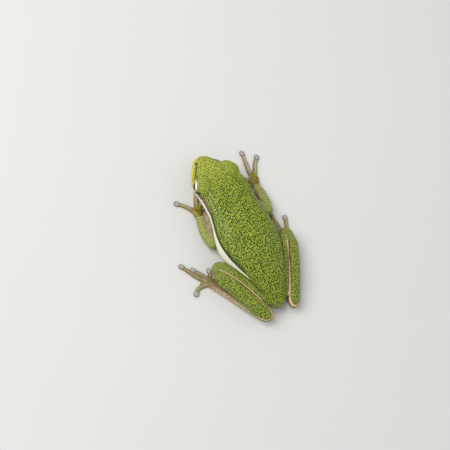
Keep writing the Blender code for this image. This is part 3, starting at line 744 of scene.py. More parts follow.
def limb_reading(table, place):
    """How near each point is to one of a pair of limbs, where it lies across that limb, and its
    flat coordinates round and along it.

    Nearness is (size - 1) times the limb's smaller half width, where size is 1 on the limb's
    own ellipse. The place across, in millimetres, runs to the inner edge."""
    near, inner, around, along = (np.full(len(place), value) for value in (99.0, 0.0, 0.0, 0.0))
    for entry in table.values():
        centre, forward, wide, narrow, half_broad, half_thin = limb_course(*entry)
        rows = rows_near(place, centre, 4)
        offset = place[rows, None, :] - centre[None]
        across, above, onward = (np.einsum("pks,ks->pk", offset, axis)
                                 for axis in (wide, narrow, forward))
        size = np.sqrt((across / half_broad) ** 2 + (above / half_thin) ** 2
                       + (onward / half_broad) ** 2)
        pick = np.argmin(size, axis=1)
        line = np.arange(len(rows))
        size, across, above, onward = (grid[line, pick] for grid in (size, across, above, onward))
        broad, thin = half_broad[pick], half_thin[pick]
        gap = (size - 1) * np.minimum(broad, thin)
        steps = np.linalg.norm(np.diff(centre, axis=0), axis=1)
        length = np.concatenate([[0], np.cumsum(steps)])
        found = (
            gap,
            -np.sign(wide[pick, 0] * centre[pick, 0]) * across,
            np.arctan2(above / thin, across / broad) * (thin + broad) / 2,
            length[pick] + onward,
        )
        nearer = gap < near[rows]
        for store, values in zip((near, inner, around, along), found):
            store[rows] = np.where(nearer, values, store[rows])
    return {"near": near, "inner": inner, "chart": np.stack([around, along])}


def digit_reading(paths, bases, place):
    """How near each point is to a hand or foot, and its level distances from the nearest digit's
    tip and middle line."""
    near, tip, ridge = (np.full(len(place), 99.0) for _ in range(3))
    for path in sum(paths.values(), ()):
        course = course_through([(left, back, DIGIT_UP) for left, back in path], 24)[1]
        rows = rows_near(place, course, 3)
        offset = place[rows, None, :] - course[None]
        level = np.linalg.norm(offset[..., :2], axis=2)
        away = np.linalg.norm(offset, axis=2).min(1) - DIGIT_RADIUS
        for store, values in ((near, away), (tip, level[:, -1]), (ridge, level.min(1))):
            store[rows] = np.minimum(store[rows], values)
    for base in bases.values():
        away = np.linalg.norm(place - np.mean(base, axis=0), axis=1)
        near = np.minimum(near, away - BASE_REACH)
    return {"near": near, "tip": tip, "ridge": ridge, "chart": place[:, :2].T}


def body_reading(straight):
    """How far a point lies outside the body's superellipse, in millimetres, and its flat
    coordinates: the angle round the section times its mean half size, and the distance back."""
    back = straight[:, 1]
    above = straight[:, 2] - widest_up(back)
    upper = above > 0
    width = half_width(back)
    height = np.where(upper, top_up(back) - widest_up(back), widest_up(back) - bottom_up(back))
    square = np.where(upper, upper_square(back), lower_square(back))
    across, above = (straight[:, 0] - middle_left(back)) / width, above / height
    size = (np.abs(across) ** square + np.abs(above) ** square) ** (1 / square)
    around = np.arctan2(across, above) * (width + height) / 2
    return {"near": (size - 1) * np.minimum(width, height), "chart": np.stack([around, back])}


def lid_chart(straight):
    """How far a point lies outside the nearer lid's bulge, and flat coordinates on it: the angle
    from an axis that leans outwards, times the bulge's mean radius, away from that axis."""
    near = np.full(len(straight), 99.0)
    flat = np.zeros((len(straight), 2))
    radii = np.array((LID_BULGE[1], LID_BULGE[0], LID_BULGE[2]))
    for side in (1, -1):
        offset = straight - lid_place(side)
        gap = (np.linalg.norm(offset / radii, axis=1) - 1) * radii.min()
        out = offset @ (side * 0.6, 0.0, 0.8)
        beside = np.stack([offset @ (side * 0.8, 0.0, -0.6), offset[:, 1]], 1)
        length = np.maximum(np.linalg.norm(beside, axis=1), 1e-6)
        turn = np.arctan2(length, out) * radii.mean() / length
        flat = np.where((gap < near)[:, None], beside * turn[:, None] + 40 * side, flat)
        near = np.minimum(near, gap)
    return near, flat


def read_forms(points, straight):
    """Where each point lies on the body, on each kind of limb and on hands and feet."""
    place = table_place(points)
    readings = {"body": body_reading(straight)}
    readings |= {name: limb_reading(table, place) for name, table in LIMBS.items()}
    readings |= {name: digit_reading(*tables, place) for name, tables in HANDS_AND_FEET.items()}
    return readings


def distance_to(points, places, axes=3):
    """Distance in millimetres to the nearest of some places, in all axes or in the level two."""
    away = [np.linalg.norm((points - at(*place))[:, :axes], axis=1) for place in places]
    return np.min(away, axis=0) / MM


def head_distances(points, place):
    """Distance in millimetres to a place on the head, on its left side and on its right."""
    left, back, up = place
    return [np.linalg.norm(points - turn_head(at(side * left, back, up)), axis=1) / MM
            for side in (1, -1)]


def line_distance(place, ends):
    """Distance from places in two axes to the straight line between two ends."""
    start, line = np.array(ends[0]), np.subtract(ends[1], ends[0])
    run = np.clip((place - start) @ line / np.sum(line**2), 0, 1)
    return np.linalg.norm(place - start - run[:, None] * line, axis=1)


def canthus_distance(straight):
    """Distance to the fold from each nostril to the front corner of the eye."""
    place = np.stack([np.abs(straight[:, 0]), straight[:, 1]], 1)
    return line_distance(place, CANTHUS) + 9 * smooth_step(4.6, 4.2, straight[:, 2])


def streak_distance(straight):
    """Distance to the dark streak from each eye's rear corner back to the temple."""
    return line_distance(straight[:, 1:], STREAK) + 9 * (np.abs(straight[:, 0]) < 5)


def wrist_distance(points):
    """Distance ahead of each wrist, along the forearm's own direction."""
    place = table_place(points)
    ahead = np.full(len(points), 9.0)
    for path, *_ in FOREARM.values():
        forward = np.subtract(path[-1], path[-2])
        offset = place - path[-1]
        near = np.linalg.norm(offset, axis=1) < WRIST_REACH
        ahead[near] = offset[near] @ forward / np.linalg.norm(forward)
    return ahead


def crease_field(points, straight, readings):
    """1 on the creases between a folded limb's two halves and between limbs and body; they are
    pressed in and also painted with shade.
    """
    body = readings["body"]["near"]
    crease = np.zeros(len(points))
    for fold, first, second, strength in FOLDS:
        both = np.maximum(readings[first]["near"], readings[second]["near"])
        for side, way in (("left", 1), ("right", -1)):
            joint, inward = fold_plane(fold[side])
            away = (points - joint) @ inward / MM - 0.15
            here = smooth_step(1.0, 0.5, both) * (points[:, 0] * way > 0)
            here *= smooth_step(1.0, 3.5, np.linalg.norm(points - joint, axis=1) / MM)
            crease = np.maximum(crease, bell(away, 0.2) * here * strength)
    limbs = np.min([readings[name]["near"] for name in LIMBS], axis=0)
    meeting = bell(body - limbs, 0.28) * smooth_step(0.7, 0.3, np.maximum(body, limbs))
    meeting *= np.maximum(smooth_step(46.0, 43.0, straight[:, 1]),
                          smooth_step(5.5, 4.0, straight[:, 2]))
    return np.maximum(crease, meeting)


def shank_line_field(points, normals):
    """Signed distance across the pale line of each shank, over the line's half width there."""
    place = table_place(points)
    field = np.full(len(points), 9.0)
    for side, line in SHANK_LINE.items():
        _, course, forward = course_through(line, LINE_STEPS)
        rows = rows_near(place, course, 2)
        offset = place[rows, None, :] - course[None]
        reach = np.linalg.norm(offset, axis=2)
        pick = np.argmin(reach, axis=1)
        nearest = reach[np.arange(len(rows)), pick]
        offset = offset[np.arange(len(rows)), pick]
        across = np.einsum("ij,ij->i", offset, np.cross(forward[pick], normals[rows]))
        past = np.abs(np.einsum("ij,ij->i", offset, forward[pick]))
        across = np.where(nearest > 0.9, np.copysign(nearest, across), across)
        across += np.copysign(past, across)
        field[rows] = across / np.interp(pick / (LINE_STEPS - 1), (0, 0.5, 1), SHANK_LINE_HALF[side])
    return field


def sculpt_details(points, normals):
    """Press in the mouth line, nostrils and creases and raise the fold behind each eye. Each is a
    bell of the distance to its line or place."""
    straight = straightened(points)
    aside, back, up = np.abs(straight[:, 0]), straight[:, 1], straight[:, 2]
    on_head = (back < MOUTH_END_BACK) & (aside < half_width(back) + 0.4)
    depth = pressed(up - mouth_up(back), *MOUTH_GROOVE) * on_head
    temple = smooth_step(*TEMPLE_FOLD_START, back) * smooth_step(*TEMPLE_FOLD_END, back)
    temple *= aside < half_width(back) + 0.3
    depth += pressed(up - (stripe_top(back) + TEMPLE_FOLD_OVER), *TEMPLE_FOLD) * temple
    canthus = canthus_distance(straight)
    depth += pressed(canthus, *CANTHUS_GROOVE)
    depth += pressed(canthus - CANTHUS_RIDGE_OUT, *CANTHUS_RIDGE) * (up > 5.3)
    for away in head_distances(points, NOSTRIL_PLACE):
        depth += pressed(away, *NOSTRIL_HOLE) + pressed(away - NOSTRIL_RIM_OUT, *NOSTRIL_RIM)
    for away in head_distances(points, EARDRUM_PLACE):
        depth += pressed(away - EARDRUM_RADIUS, *EARDRUM_RING)
    depth += pressed(wrist_distance(points) + 0.15, *WRIST_GROOVE)
    depth += CREASE_DEPTH * crease_field(points, straight, read_forms(points, straight))
    return points - normals * depth[:, None] * MM


def granule_marks(straight, readings, near):
    """Flat coordinates for the granules, from whichever form is nearest."""
    charts = np.stack([reading["chart"] for reading in readings.values()])
    spread = charts[np.argmin(near, axis=1), :, np.arange(len(straight))]
    lid_near, lid_flat = lid_chart(straight)
    spread = np.where((lid_near < near.min(1))[:, None], lid_flat, spread)
    return {"around": spread[:, 0], "along": spread[:, 1]}


def body_marks(straight, body):
    """The stripe, belly, snout, the mouth line's painted shade and the temple, partly painted shade,
    from the distance back and the height.
    """
    back, up = straight[:, 1], straight[:, 2]
    over = up - stripe_top(back)
    under = stripe_foot(back) - up
    rump = smooth_step(*RUMP_BACK, back)
    pale = smooth_step(0.3, 1.6, under) * (1 - rump) + smooth_step(*RUMP_PALE_UP, up) * rump
    # The purple band under the temple fold: partly its own colour, partly painted shade under the
    # fold
    temple = smooth_step(0.0, 0.3, over) * smooth_step(1.3, 0.9, over)
    temple *= smooth_step(*TEMPLE_START, back) * smooth_step(*TEMPLE_END, back)
    on_head = (back < MOUTH_END_BACK) & (body > 0.5)
    return {
        "over_stripe": over + 6 * (1 - body),
        "stripe": np.minimum(-over, -under) - 4 * (1 - body),
        "flank": body * smooth_step(*FLANK_END, back) * smooth_step(*FLANK_START, back),
        "belly": body * pale,
        "mouth": np.where(on_head, up - mouth_up(back), 5.0),
        "snout": smooth_step(*SNOUT_FADE, back) * body,
        "temple": temple * body,
    }


def tan_marks(points, normals, straight, readings, share):
    """Brown skin: hands, feet, tarsi, vent, elbows, the undersides as painted shade, and the folded
    arms' insides, partly painted shade.
    """
    elbows = distance_to(points, ELBOW_TIPS)
    # Folded arms' insides: partly their own pinkish brown, partly painted shade between arm and body
    folded = smooth_step(0.75, 1.15, readings["forearm"]["inner"]) * share["forearm"]
    folded = (folded + share["upper_arm"]) * smooth_step(3.8, 6.2, elbows)
    # Brown on the limbs' down-facing skin is painted shade
    underside_shade = smooth_step(0.15, -0.45, normals[:, 2]) * (1 - share["body"])
    vent = smooth_step(*VENT_BACK, straight[:, 1]) * smooth_step(*VENT_UP, straight[:, 2])
    tan = share["hand"] + share["foot"] + share["tarsus"] + 0.8 * underside_shade
    tan += 0.7 * vent * share["body"] + folded + 0.45 * bell(elbows, 1.0)
    return {"tan": np.clip(tan, 0, 1), "folded": folded}


def limb_marks(points, normals, readings, share):
    """Paler arms, darker knees and the speckled outer edge of each tarsus."""
    legs = share["shank"] + share["thigh"]
    outer = smooth_step(-0.25, -0.8, readings["tarsus"]["inner"]) * (normals[:, 2] > -0.2)
    knees = distance_to(points, [fold[0] for fold in KNEE_FOLD.values()])
    return {
        "limb": np.clip(share["forearm"] + share["upper_arm"] + 0.15 * legs, 0, 1),
        "shin": share["tarsus"] * outer,
        "knee": legs * smooth_step(4.6, 2.2, knees),
    }


def digit_marks(points, up, readings, share):
    """Pads, webs, palms and pale ridges, from level distances to the digits and their bases."""
    hand, foot = share["hand"], share["foot"]
    tip, ridge = (np.minimum(readings["hand"][key], readings["foot"][key])
                  for key in ("tip", "ridge"))
    palms, soles = (distance_to(points, sum(table.values(), ()), 2) for table in (PALM, SOLE))
    webbed = smooth_step(0.45, 0.9, ridge) * smooth_step(1.3, 2.2, soles)
    beyond = smooth_step(1.4, 2.4, palms) * smooth_step(0.6, 1.6, soles)
    raised = (0.75 * hand + 0.5 * foot) * beyond * (up > 0.7)
    olive = 0.45 + 0.55 * np.maximum(webbed, smooth_step(2.4, 1.4, palms))
    return {
        "pad": tip + 9 * (1 - hand - foot),
        "web": foot * webbed,
        "palm": (hand + foot) * olive,
        "ridge": raised * smooth_step(0.5, 0.1, ridge),
    }


def mark_skin(mesh):
    """Store the skin's markings at each point, as smooth fields that the material cuts."""
    points, normals = mesh_points(mesh), mesh_normals(mesh)
    straight = straightened(points)
    readings = read_forms(points, straight)
    near = np.stack([reading["near"] for reading in readings.values()], 1)
    weight = np.exp(-np.clip(near - near.min(1, keepdims=True), 0, 5) / BLEND_WIDTH)
    weight /= weight.sum(1, keepdims=True)
    share = dict(zip(readings, weight.T))
    marks = {
        "fleck": distance_to(points, [FLECK_PLACE]),
        "crease": crease_field(points, straight, readings),
        "shank_line": shank_line_field(points, normals),
        "nostril": np.min(head_distances(points, NOSTRIL_PLACE), axis=0),
        "wrist": wrist_distance(points),
        "canthus": canthus_distance(straight),
        "streak": streak_distance(straight),
    }
    marks |= granule_marks(straight, readings, near)
    marks |= body_marks(straight, share["body"])
    marks |= tan_marks(points, normals, straight, readings, share)
    marks |= limb_marks(points, normals, readings, share)
    marks |= digit_marks(points, straight[:, 2], readings, share)
    smooth = 1 - np.clip(share["hand"] + share["foot"], 0, 1)
    marks["grain"] = smooth * (1 - 0.5 * marks["belly"]) * (1 - 0.65 * marks["tan"])
    for name, values in marks.items():
        set_attribute(mesh, name, values)


def scaled(colour, factor):
    """A colour made darker or lighter."""
    return tuple(channel * factor for channel in colour)


class Nodes:
    """A short way to wire a material's nodes."""

    def __init__(self, name):
        self.material = bpy.data.materials.new(name)
        self.material.use_nodes = True
        self.tree = self.material.node_tree
        self.shader = self.tree.nodes["Principled BSDF"]

    def add(self, kind, **settings):
        """A new node."""
        node = self.tree.nodes.new(kind)
        for key, value in settings.items():
            setattr(node, key, value)
        return node

    def link(self, source, target):
        """Join an output to an input."""
        self.tree.links.new(source, target)

    def value(self, name):
        """A value stored at the mesh's points."""
        return self.add("ShaderNodeAttribute", attribute_name=name).outputs["Fac"]

    def math(self, operation, a, b=0.0):
        """An operation on one or two values, each a number or an output."""
        node = self.add("ShaderNodeMath", operation=operation)
        for socket, item in zip(node.inputs, (a, b)):
            if isinstance(item, (int, float)):
                socket.default_value = item
            else:
                self.link(item, socket)
        return node.outputs[0]

    def times(self, a, b):
        """One value times another."""
        return self.math("MULTIPLY", a, b)

    def step(self, value, low, high):
        """A soft step from 0 at low to 1 at high, in either direction."""
        node = self.add("ShaderNodeMapRange", interpolation_type="SMOOTHSTEP")
        self.link(value, node.inputs["Value"])
        node.inputs["From Min"].default_value = min(low, high)
        node.inputs["From Max"].default_value = max(low, high)
        node.inputs["To Min"].default_value = float(low > high)
        node.inputs["To Max"].default_value = float(low < high)
        return node.outputs["Result"]

    def mix(self, factor, first, second):
        """The first colour where the factor is 0 and the second where it is 1."""
        node = self.add("ShaderNodeMix", data_type="RGBA")
        for socket, item in ((node.inputs[0], factor), (node.inputs[6], first),
                             (node.inputs[7], second)):
            if isinstance(item, (int, float)):
                socket.default_value = item
            elif hasattr(item, "node"):
                self.link(item, socket)
            else:
                socket.default_value = (*item, 1.0)
        return node.outputs[2]

    def noise(self, size, detail=3.0):
        """Cloudy noise of the given size, fixed to the piece."""
        node = self.add("ShaderNodeTexNoise")
        self.link(self.add("ShaderNodeTexCoord").outputs["Object"], node.inputs["Vector"])
        node.inputs["Scale"].default_value = 1 / size
        node.inputs["Detail"].default_value = detail
        return node.outputs["Fac"]

    def netting(self, size):
        """Distance from the walls of cells of the given size, fixed to the piece."""
        mapping = self.add("ShaderNodeMapping")
        mapping.inputs["Scale"].default_value = (1 / size, 1 / size, 1 / size)
        self.link(self.add("ShaderNodeTexCoord").outputs["Object"], mapping.inputs["Vector"])
        node = self.add("ShaderNodeTexVoronoi", feature="DISTANCE_TO_EDGE")
        self.link(mapping.outputs["Vector"], node.inputs["Vector"])
        node.inputs["Scale"].default_value = 1
        return node.outputs["Distance"]

    def oval(self, across, above, half_across, half_above, power):
        """|across / half|^n + |above / half|^n, which is 1 on the oval's edge."""
        terms = [self.math("POWER", self.math("ABSOLUTE", self.math("DIVIDE", place, half)), power)
                 for place, half in ((across, half_across), (above, half_above))]
        return self.math("ADD", *terms)


def granules(n, size):
    """Rounded cells on the skin's flat coordinates: 1 on their tops and 0 in the furrows between
    them, and a random tone for each."""
    chart = n.add("ShaderNodeCombineXYZ")
    n.link(n.times(n.value("around"), 1.2), chart.inputs[0])
    n.link(n.value("along"), chart.inputs[1])
    cell, border = (n.add("ShaderNodeTexVoronoi", voronoi_dimensions="2D", feature=feature)
                    for feature in ("F1", "DISTANCE_TO_EDGE"))
    for node in (cell, border):
        n.link(chart.outputs[0], node.inputs["Vector"])
        node.inputs["Scale"].default_value = MM / size
        node.inputs["Randomness"].default_value = 0.6
    tone = n.add("ShaderNodeSeparateColor")
    n.link(cell.outputs["Color"], tone.inputs[0])
    top = n.times(n.step(cell.outputs["Distance"], 0.58, 0.26),
                  n.step(border.outputs["Distance"], 0.0, 0.1))
    return top, n.step(tone.outputs[0], 0.1, 0.9)


def green_layers(n, settings, granule, tone, patches):
    """Granular green with painted shade in its furrows, yellower on the snout, paler on the arms and
    duller on the knees.
    """
    top = n.mix(tone, scaled(settings.green, 0.8), settings.tip)
    # Painted shade in the furrows between granules
    base = n.mix(granule, settings.furrow_shade, top)
    base = n.mix(n.value("grain"), n.mix(0.55, settings.green, settings.furrow_shade), base)
    base = n.mix(n.times(n.step(patches, 0.45, 0.7), 0.15), base, MOSS)
    # Each furrow colour here is a darker copy of its green, painted as shade between granules
    for name, strength, furrow_shade, green in (
        ("snout", 0.8, scaled(settings.snout, 0.28), settings.snout),
        ("limb", 0.82, scaled(settings.limb, 0.4), settings.limb),
        ("knee", 0.7, KNEE_FURROW_SHADE, KNEE_GREEN),
    ):
        base = n.mix(n.times(n.value(name), strength), base, n.mix(granule, furrow_shade, green))
    return n.mix(n.times(n.step(n.value("canthus"), 0.27, 0.08), 0.85), base, CANTHUS_GREEN)


def flank_layers(n, settings, granule, fine, base):
    """The stripe's dark upper edge, the plum temple, partly painted shade under its fold, the eye's
    streak and the pale belly.
    """
    over = n.value("over_stripe")
    edge = n.times(n.times(n.step(over, -0.05, 0.1), n.step(over, 0.95, 0.5)), n.value("flank"))
    base = n.mix(n.times(edge, 0.9), base, STRIPE_SHADE)
    # Purple temple, partly painted shade under its fold
    base = n.mix(n.value("temple"), base, n.mix(fine, scaled(settings.plum, 0.6), settings.plum))
    base = n.mix(n.times(n.step(n.value("streak"), 0.46, 0.28), 0.97), base, STREAK_BLACK)
    # The belly's furrows take a darker copy of its cream as painted shade
    belly = n.mix(granule, scaled(settings.belly, 0.7), settings.belly)
    return n.mix(n.value("belly"), base, belly)


def tan_layers(n, settings, patches, fine):
    """Brown skin with pinker arms, olive palms and webs, pale ridges and speckled tarsi."""
    blotches = n.noise(1.3 * MM, 2.0)
    flecks = n.times(fine, 0.5)
    tan = n.mix(n.step(patches, 0.35, 0.65), settings.tan, scaled(settings.tan, 1.5))
    tan = n.mix(flecks, tan, TAN_FLECK)
    # The folded arms' pinkish insides: partly own colour, partly painted shade between arm and body
    pink = n.mix(n.step(blotches, 0.4, 0.6), ARM_PINK_DARK, ARM_PINK)
    tan = n.mix(n.times(n.value("folded"), 0.8), tan, pink)
    palm = n.mix(n.step(blotches, 0.42, 0.6), PALM_BROWN, scaled(settings.palm, 1.5))
    tan = n.mix(n.value("palm"), tan, n.mix(flecks, palm, PALM_FLECK))
    tan = n.mix(n.value("web"), tan, WEB_OLIVE)
    tan = n.mix(n.value("ridge"), tan, DIGIT_RIDGE)
    return n.mix(n.value("shin"), tan, n.mix(n.step(fine, 0.4, 0.6), TARSUS_DARK, TARSUS_PALE))


def line_layers(n, settings, patches, fine, base):
    """Wrist folds, pads, the stripe, the shanks' lines and the fleck, and painted shade in the
    creases, mouth line and nostrils.
    """
    wrist = n.math("ABSOLUTE", n.math("ADD", n.value("wrist"), -0.15))
    wrist = n.times(n.step(wrist, 0.28, 0.08), n.step(patches, 0.4, 0.6))
    base = n.mix(n.times(wrist, 0.7), base, WRIST_FOLD)
    pad = n.value("pad")
    base = n.mix(n.step(pad, 1.0, 0.85), base, PAD_EDGE)
    base = n.mix(n.step(pad, 0.8, 0.62), base, settings.pad)
    cream = n.mix(n.times(fine, 0.25), settings.cream, scaled(settings.cream, 0.75))
    cream = n.mix(n.step(n.value("snout"), 0.55, 0.8), cream, LIP_YELLOW)
    base = n.mix(n.step(n.value("stripe"), -0.05, 0.08), base, cream)
    # Painted shade in the creases
    base = n.mix(n.times(n.step(n.value("crease"), 0.35, 0.9), 0.8), base, PAINTED_CREASE_SHADE)
    line = n.math("ABSOLUTE", n.value("shank_line"))
    base = n.mix(n.times(n.step(line, 2.0, 1.3), 0.6), base, SHANK_LINE_EDGE)
    base = n.mix(n.step(line, 1.15, 0.75), base, settings.blush)
    base = n.mix(n.step(n.value("fleck"), 0.34, 0.2), base, FLECK_YELLOW)
    # Painted shade along the mouth line
    mouth_shade = n.step(n.math("ABSOLUTE", n.value("mouth")), 0.12, 0.03)
    base = n.mix(n.times(mouth_shade, 0.8), base, PAINTED_MOUTH_SHADE)
    # Painted shade in the nostrils
    return n.mix(n.step(n.value("nostril"), 0.55, 0.36), base, PAINTED_NOSTRIL_SHADE)


def skin_material(settings):
    """Granular green skin with its stripe, pale belly, tan feet and grey pads, and painted shade in
    its furrows, creases, undersides, mouth line and nostrils.
    """
    n = Nodes("frog skin")
    granule, tone = granules(n, settings.grain)
    patches = n.noise(3.2 * MM, 4.0)
    fine = n.noise(0.35 * MM)
    base = green_layers(n, settings, granule, tone, patches)
    base = flank_layers(n, settings, granule, fine, base)
    base = n.mix(n.value("tan"), base, tan_layers(n, settings, patches, fine))
    base = line_layers(n, settings, patches, fine, base)
    n.link(base, n.shader.inputs["Base Color"])
    n.link(n.mix(fine, (0.38, 0.38, 0.38), (0.58, 0.58, 0.58)), n.shader.inputs["Roughness"])
    n.shader.inputs["Subsurface Weight"].default_value = 0.1
    n.shader.inputs["Subsurface Radius"].default_value = (0.6, 0.5, 0.2)
    n.shader.inputs["Subsurface Scale"].default_value = 0.0006
    n.shader.inputs["Specular IOR Level"].default_value = 0.25
    n.shader.inputs["Coat Weight"].default_value = 0.08
    n.shader.inputs["Coat Roughness"].default_value = 0.2
    bump = n.add("ShaderNodeBump")
    bump.inputs["Strength"].default_value = 0.6
    bump.inputs["Distance"].default_value = 0.00013
    relief = n.math("ADD", n.times(granule, n.value("grain")), n.times(fine, 0.25))
    n.link(relief, bump.inputs["Height"])
    n.link(bump.outputs["Normal"], n.shader.inputs["Normal"])
    return n.material


def eye_material(settings):
    """A dark level pupil in an iris that is pale above and gold below, under a wet surface; the pale
    is partly a painted reflection.
    """
    n = Nodes("eye surface")
    across, above = n.value("across"), n.value("above")
    pupil = n.oval(across, above, 0.52, 0.35, 2.2)
    out = n.math("SQRT", n.oval(across, above, 1.0, 1.0, 2.0))
    gold = n.mix(n.step(n.netting(0.16 * MM), 0.12, 0.02), settings.iris,
                 scaled(settings.iris, 0.45))
    # Pale upper iris, partly a painted reflection
    gold = n.mix(n.step(above, 0.2, 0.42), gold, IRIS_PALE_AND_REFLECTION)
    gold = n.mix(n.step(n.math("ABSOLUTE", above), 0.12, 0.0), gold, IRIS_BAND)
    colour = n.mix(n.step(out, 0.84, 0.96), gold, settings.rim)
    colour = n.mix(n.step(pupil, 1.25, 1.0), colour, PUPIL_EDGE)
    colour = n.mix(n.step(pupil, 1.05, 0.95), colour, PUPIL_BLACK)
    n.link(colour, n.shader.inputs["Base Color"])
    n.shader.inputs["Roughness"].default_value = 0.3
    n.shader.inputs["Specular IOR Level"].default_value = 0.1
    n.shader.inputs["Coat Weight"].default_value = 0.5
    n.shader.inputs["Coat Roughness"].default_value = 0.03
    return n.material


def lid_rim_material():
    """Smooth skin on the eyelids' rims: green above, tan below, black at the rear corner."""
    n = Nodes("eyelid rim")
    fine = n.noise(0.5 * MM)
    upper = n.mix(fine, UPPER_LID_DARK, UPPER_LID)
    lower = n.mix(fine, LOWER_LID_DARK, LOWER_LID)
    rim = n.mix(n.step(n.value("low"), -0.1, 0.4), upper, lower)
    rim = n.mix(n.step(n.value("corner"), 0.9, 0.97), rim, STREAK_BLACK)
    n.link(rim, n.shader.inputs["Base Color"])
    n.shader.inputs["Roughness"].default_value = 0.4
    n.shader.inputs["Coat Weight"].default_value = 0.2
    return n.material


def floor_material(colour):
    """A faintly uneven matt floor."""
    n = Nodes("floor")
    n.link(n.mix(n.noise(0.05, 2.0), colour, scaled(colour, 0.97)), n.shader.inputs["Base Color"])
    n.shader.inputs["Roughness"].default_value = 0.7
    return n.material


def eyeball_mesh(name, side, radius):
    """A sphere: circles of latitude about the gaze. Each point keeps its place on the iris."""
    centre, gaze, lengthwise, upright = eye_axes(side)
    tilt = np.linspace(0, np.pi, 49)[1:-1, None, None]
    turn = np.linspace(0, 2 * np.pi, 64, endpoint=False)[None, :, None]
    ray = (np.cos(tilt) * gaze + np.sin(tilt) * np.cos(turn) * lengthwise
           + np.sin(tilt) * np.sin(turn) * upright)
    ends = gaze * radius
    form = tube_form(centre + ray * radius, centre + ends, centre - ends)
    mesh = mesh_from(name, *join_forms([form]))
    face_outward(mesh, centre)
    offset = (mesh_points(mesh) - centre) / radius
    behind = np.where(offset @ gaze < 0, 1.5, 0.0)
    set_attribute(mesh, "across", offset @ lengthwise + behind)
    set_attribute(mesh, "above", offset @ upright)
    return mesh


def lid_rim_mesh(name, side, radius):
    """A small circle carried round the lid opening, an ellipse in angles on the eyeball."""
    centre, gaze, lengthwise, upright = eye_axes(side)
    turn = np.linspace(0, 2 * np.pi, 120, endpoint=False)
    sweep = (LID_LONG * np.cos(turn))[:, None]
    rise = (np.where(np.sin(turn) > 0, LID_HIGH, LID_LOW) * np.sin(turn))[:, None]
    ray = (np.cos(rise) * np.cos(sweep) * gaze + np.cos(rise) * np.sin(sweep) * lengthwise
           + np.sin(rise) * upright)
    path = centre + ray * (radius + LID_RIM_OUT * MM)
    forward = np.roll(path, -1, 0) - np.roll(path, 1, 0)
    forward /= np.linalg.norm(forward, axis=1)[:, None]
    across = np.cross(forward, ray)
    around = np.linspace(0, 2 * np.pi, 14, endpoint=False)[None, :, None]
    circle = np.cos(around) * across[:, None, :] + np.sin(around) * ray[:, None, :]
    rings = path[:, None, :] + LID_RIM_RADIUS * MM * circle
    count, sides = rings.shape[:2]
    faces = grid_quads(count, sides, True, True).tolist()
    mesh = mesh_from(name, rings.reshape(-1, 3), faces)
    face_outward(mesh, path[0])
    set_attribute(mesh, "low", np.repeat(-np.sin(turn), sides))
    set_attribute(mesh, "corner", np.repeat(np.cos(turn), sides))
    return mesh


class FROG_OT_skin(Operator):
    """Make one skin over every part of the frog but its eyes"""

    bl_idname = "frog.skin"
    bl_label = "Make skin"

    def execute(self, context):
        settings = context.scene.frog_skin
        mesh = remeshed(*join_forms(flesh_forms()), settings.voxel)
        if len(mesh.vertices) < FEWEST_POINTS:
            raise RuntimeError("the skin came out empty")
        edges = np.empty(len(mesh.edges) * 2, int)
        mesh.edges.foreach_get("vertices", edges)
        points = relax(mesh_points(mesh), edges.reshape(-1, 2), RELAX_ROUNDS)
        put_points(mesh, points)
        points = sculpt_details(points, mesh_normals(mesh))
        points = shape_lids(points, context.scene.frog_eyes.radius)
        points[:, 2] = np.maximum(points[:, 2], 0.0)
        put_points(mesh, points)
        mark_skin(mesh)
        skin = add_piece("skin", mesh, skin_material(settings))
        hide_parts(*FLESH_NODES)
        return {"FINISHED"}


class FROG_OT_eyes(Operator):
    """Make the eyeballs and the rims of their lids"""

    bl_idname = "frog.eyes"
    bl_label = "Make eyes"

    def execute(self, context):
        settings = context.scene.frog_eyes
        surface, rim = eye_material(settings), lid_rim_material()
        for side, name in ((1, "left"), (-1, "right")):
            mesh = eyeball_mesh(f"eyeball_{name}", side, settings.radius)
            ball = add_piece(f"eyeball_{name}", mesh, surface)
            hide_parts(f"eye_{name}")
            mesh = lid_rim_mesh(f"eyelid_rim_{name}", side, settings.radius)
            add_piece(f"eyelid_rim_{name}", mesh, rim)
        return {"FINISHED"}


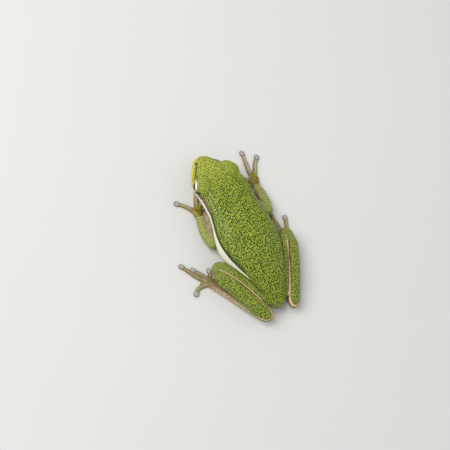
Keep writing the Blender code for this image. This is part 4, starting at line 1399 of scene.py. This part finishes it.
class FROG_OT_stage(Operator):
    """Set the floor, the soft lights and the camera"""

    bl_idname = "frog.stage"
    bl_label = "Set stage"

    def execute(self, context):
        settings = context.scene.frog_stage
        self.add_floor(context, settings)
        self.add_lights(context, settings)
        self.add_camera(context, settings)
        context.scene.view_settings.view_transform = "Standard"
        return {"FINISHED"}

    def add_floor(self, context, settings):
        """A level square of 6 by 6 faces."""
        steps = np.linspace(-FLOOR_HALF_SIZE, FLOOR_HALF_SIZE, 7)
        x, y = np.meshgrid(steps, steps)
        points = np.stack([x, y, np.zeros_like(x)], -1).reshape(-1, 3)
        mesh = mesh_from("floor", points, grid_quads(7, 7, False, False).tolist())
        mesh.materials.append(floor_material(settings.floor))
        floor = bpy.data.objects.new("floor", mesh)
        context.scene.collection.objects.link(floor)

    def add_lights(self, context, settings):
        """Even light from all round, and two soft square lights that face the frog."""
        world = bpy.data.worlds.new("studio")
        world.use_nodes = True
        glow = world.node_tree.nodes["Background"]
        glow.inputs["Color"].default_value = (1, 1, 1, 1)
        glow.inputs["Strength"].default_value = WORLD_LIGHT
        context.scene.world = world
        for name, place, size, share in LIGHTS:
            light = bpy.data.lights.new(name, "AREA")
            light.energy = settings.key_power * share
            light.size = size
            lamp = bpy.data.objects.new(name, light)
            lamp.location = place
            beam = -Vector(place).normalized()
            lamp.rotation_euler = beam.to_track_quat("-Z", "Y").to_euler()
            context.scene.collection.objects.link(lamp)

    def add_camera(self, context, settings):
        """The camera, with its axes worked out from its tilt and its roll."""
        ahead = np.array([0.0, -1.0, 0.0])
        right = np.array([-math.cos(CAMERA_TILT), 0.0, math.sin(CAMERA_TILT)])
        look = np.array([-math.sin(CAMERA_TILT), 0.0, -math.cos(CAMERA_TILT)])
        across = -math.sin(CAMERA_ROLL) * ahead + math.cos(CAMERA_ROLL) * right
        upward = math.cos(CAMERA_ROLL) * ahead + math.sin(CAMERA_ROLL) * right
        place = np.array(CAMERA_TARGET) * MM - look * settings.distance
        lens = bpy.data.cameras.new("camera")
        lens.sensor_width = SENSOR_WIDTH
        lens.lens = SENSOR_WIDTH * CAMERA_DISTANCE / CAMERA_VIEW_WIDTH
        lens.clip_start = 0.01
        camera = bpy.data.objects.new("camera", lens)
        rows = np.stack([across, upward, -look, place], 1).tolist()
        camera.matrix_world = Matrix([*rows, (0.0, 0.0, 0.0, 1.0)])
        context.scene.collection.objects.link(camera)
        context.scene.camera = camera


class FROG_PT_panel(Panel):
    """Shows each operator with its settings"""

    bl_idname = "FROG_PT_panel"
    bl_label = "Tree frog"
    bl_space_type = "VIEW_3D"
    bl_region_type = "UI"
    bl_category = "Tree frog"

    def draw(self, context):
        """One box for each operator."""
        for group, operator in (("frog_skin", "frog.skin"), ("frog_eyes", "frog.eyes"),
                                ("frog_stage", "frog.stage")):
            settings = getattr(context.scene, group)
            box = self.layout.box()
            for name in settings.bl_rna.properties.keys():
                if name not in {"rna_type", "name"}:
                    box.prop(settings, name)
            box.operator(operator)


CLASSES = (SkinSettings, EyeSettings, StageSettings, FROG_OT_skin, FROG_OT_eyes, FROG_OT_stage,
           FROG_PT_panel)


def register():
    """Add the classes and their settings to Blender."""
    for item in CLASSES:
        bpy.utils.register_class(item)
    bpy.types.Scene.frog_skin = PointerProperty(type=SkinSettings)
    bpy.types.Scene.frog_eyes = PointerProperty(type=EyeSettings)
    bpy.types.Scene.frog_stage = PointerProperty(type=StageSettings)


def unregister():
    """Take the settings and the classes out again."""
    del bpy.types.Scene.frog_stage
    del bpy.types.Scene.frog_eyes
    del bpy.types.Scene.frog_skin
    for item in reversed(CLASSES):
        bpy.utils.unregister_class(item)


def main():
    """Make every piece and the stage."""
    register()
    bpy.ops.frog.skin()
    bpy.ops.frog.eyes()
    bpy.ops.frog.stage()


if __name__ == "__main__":
    main()
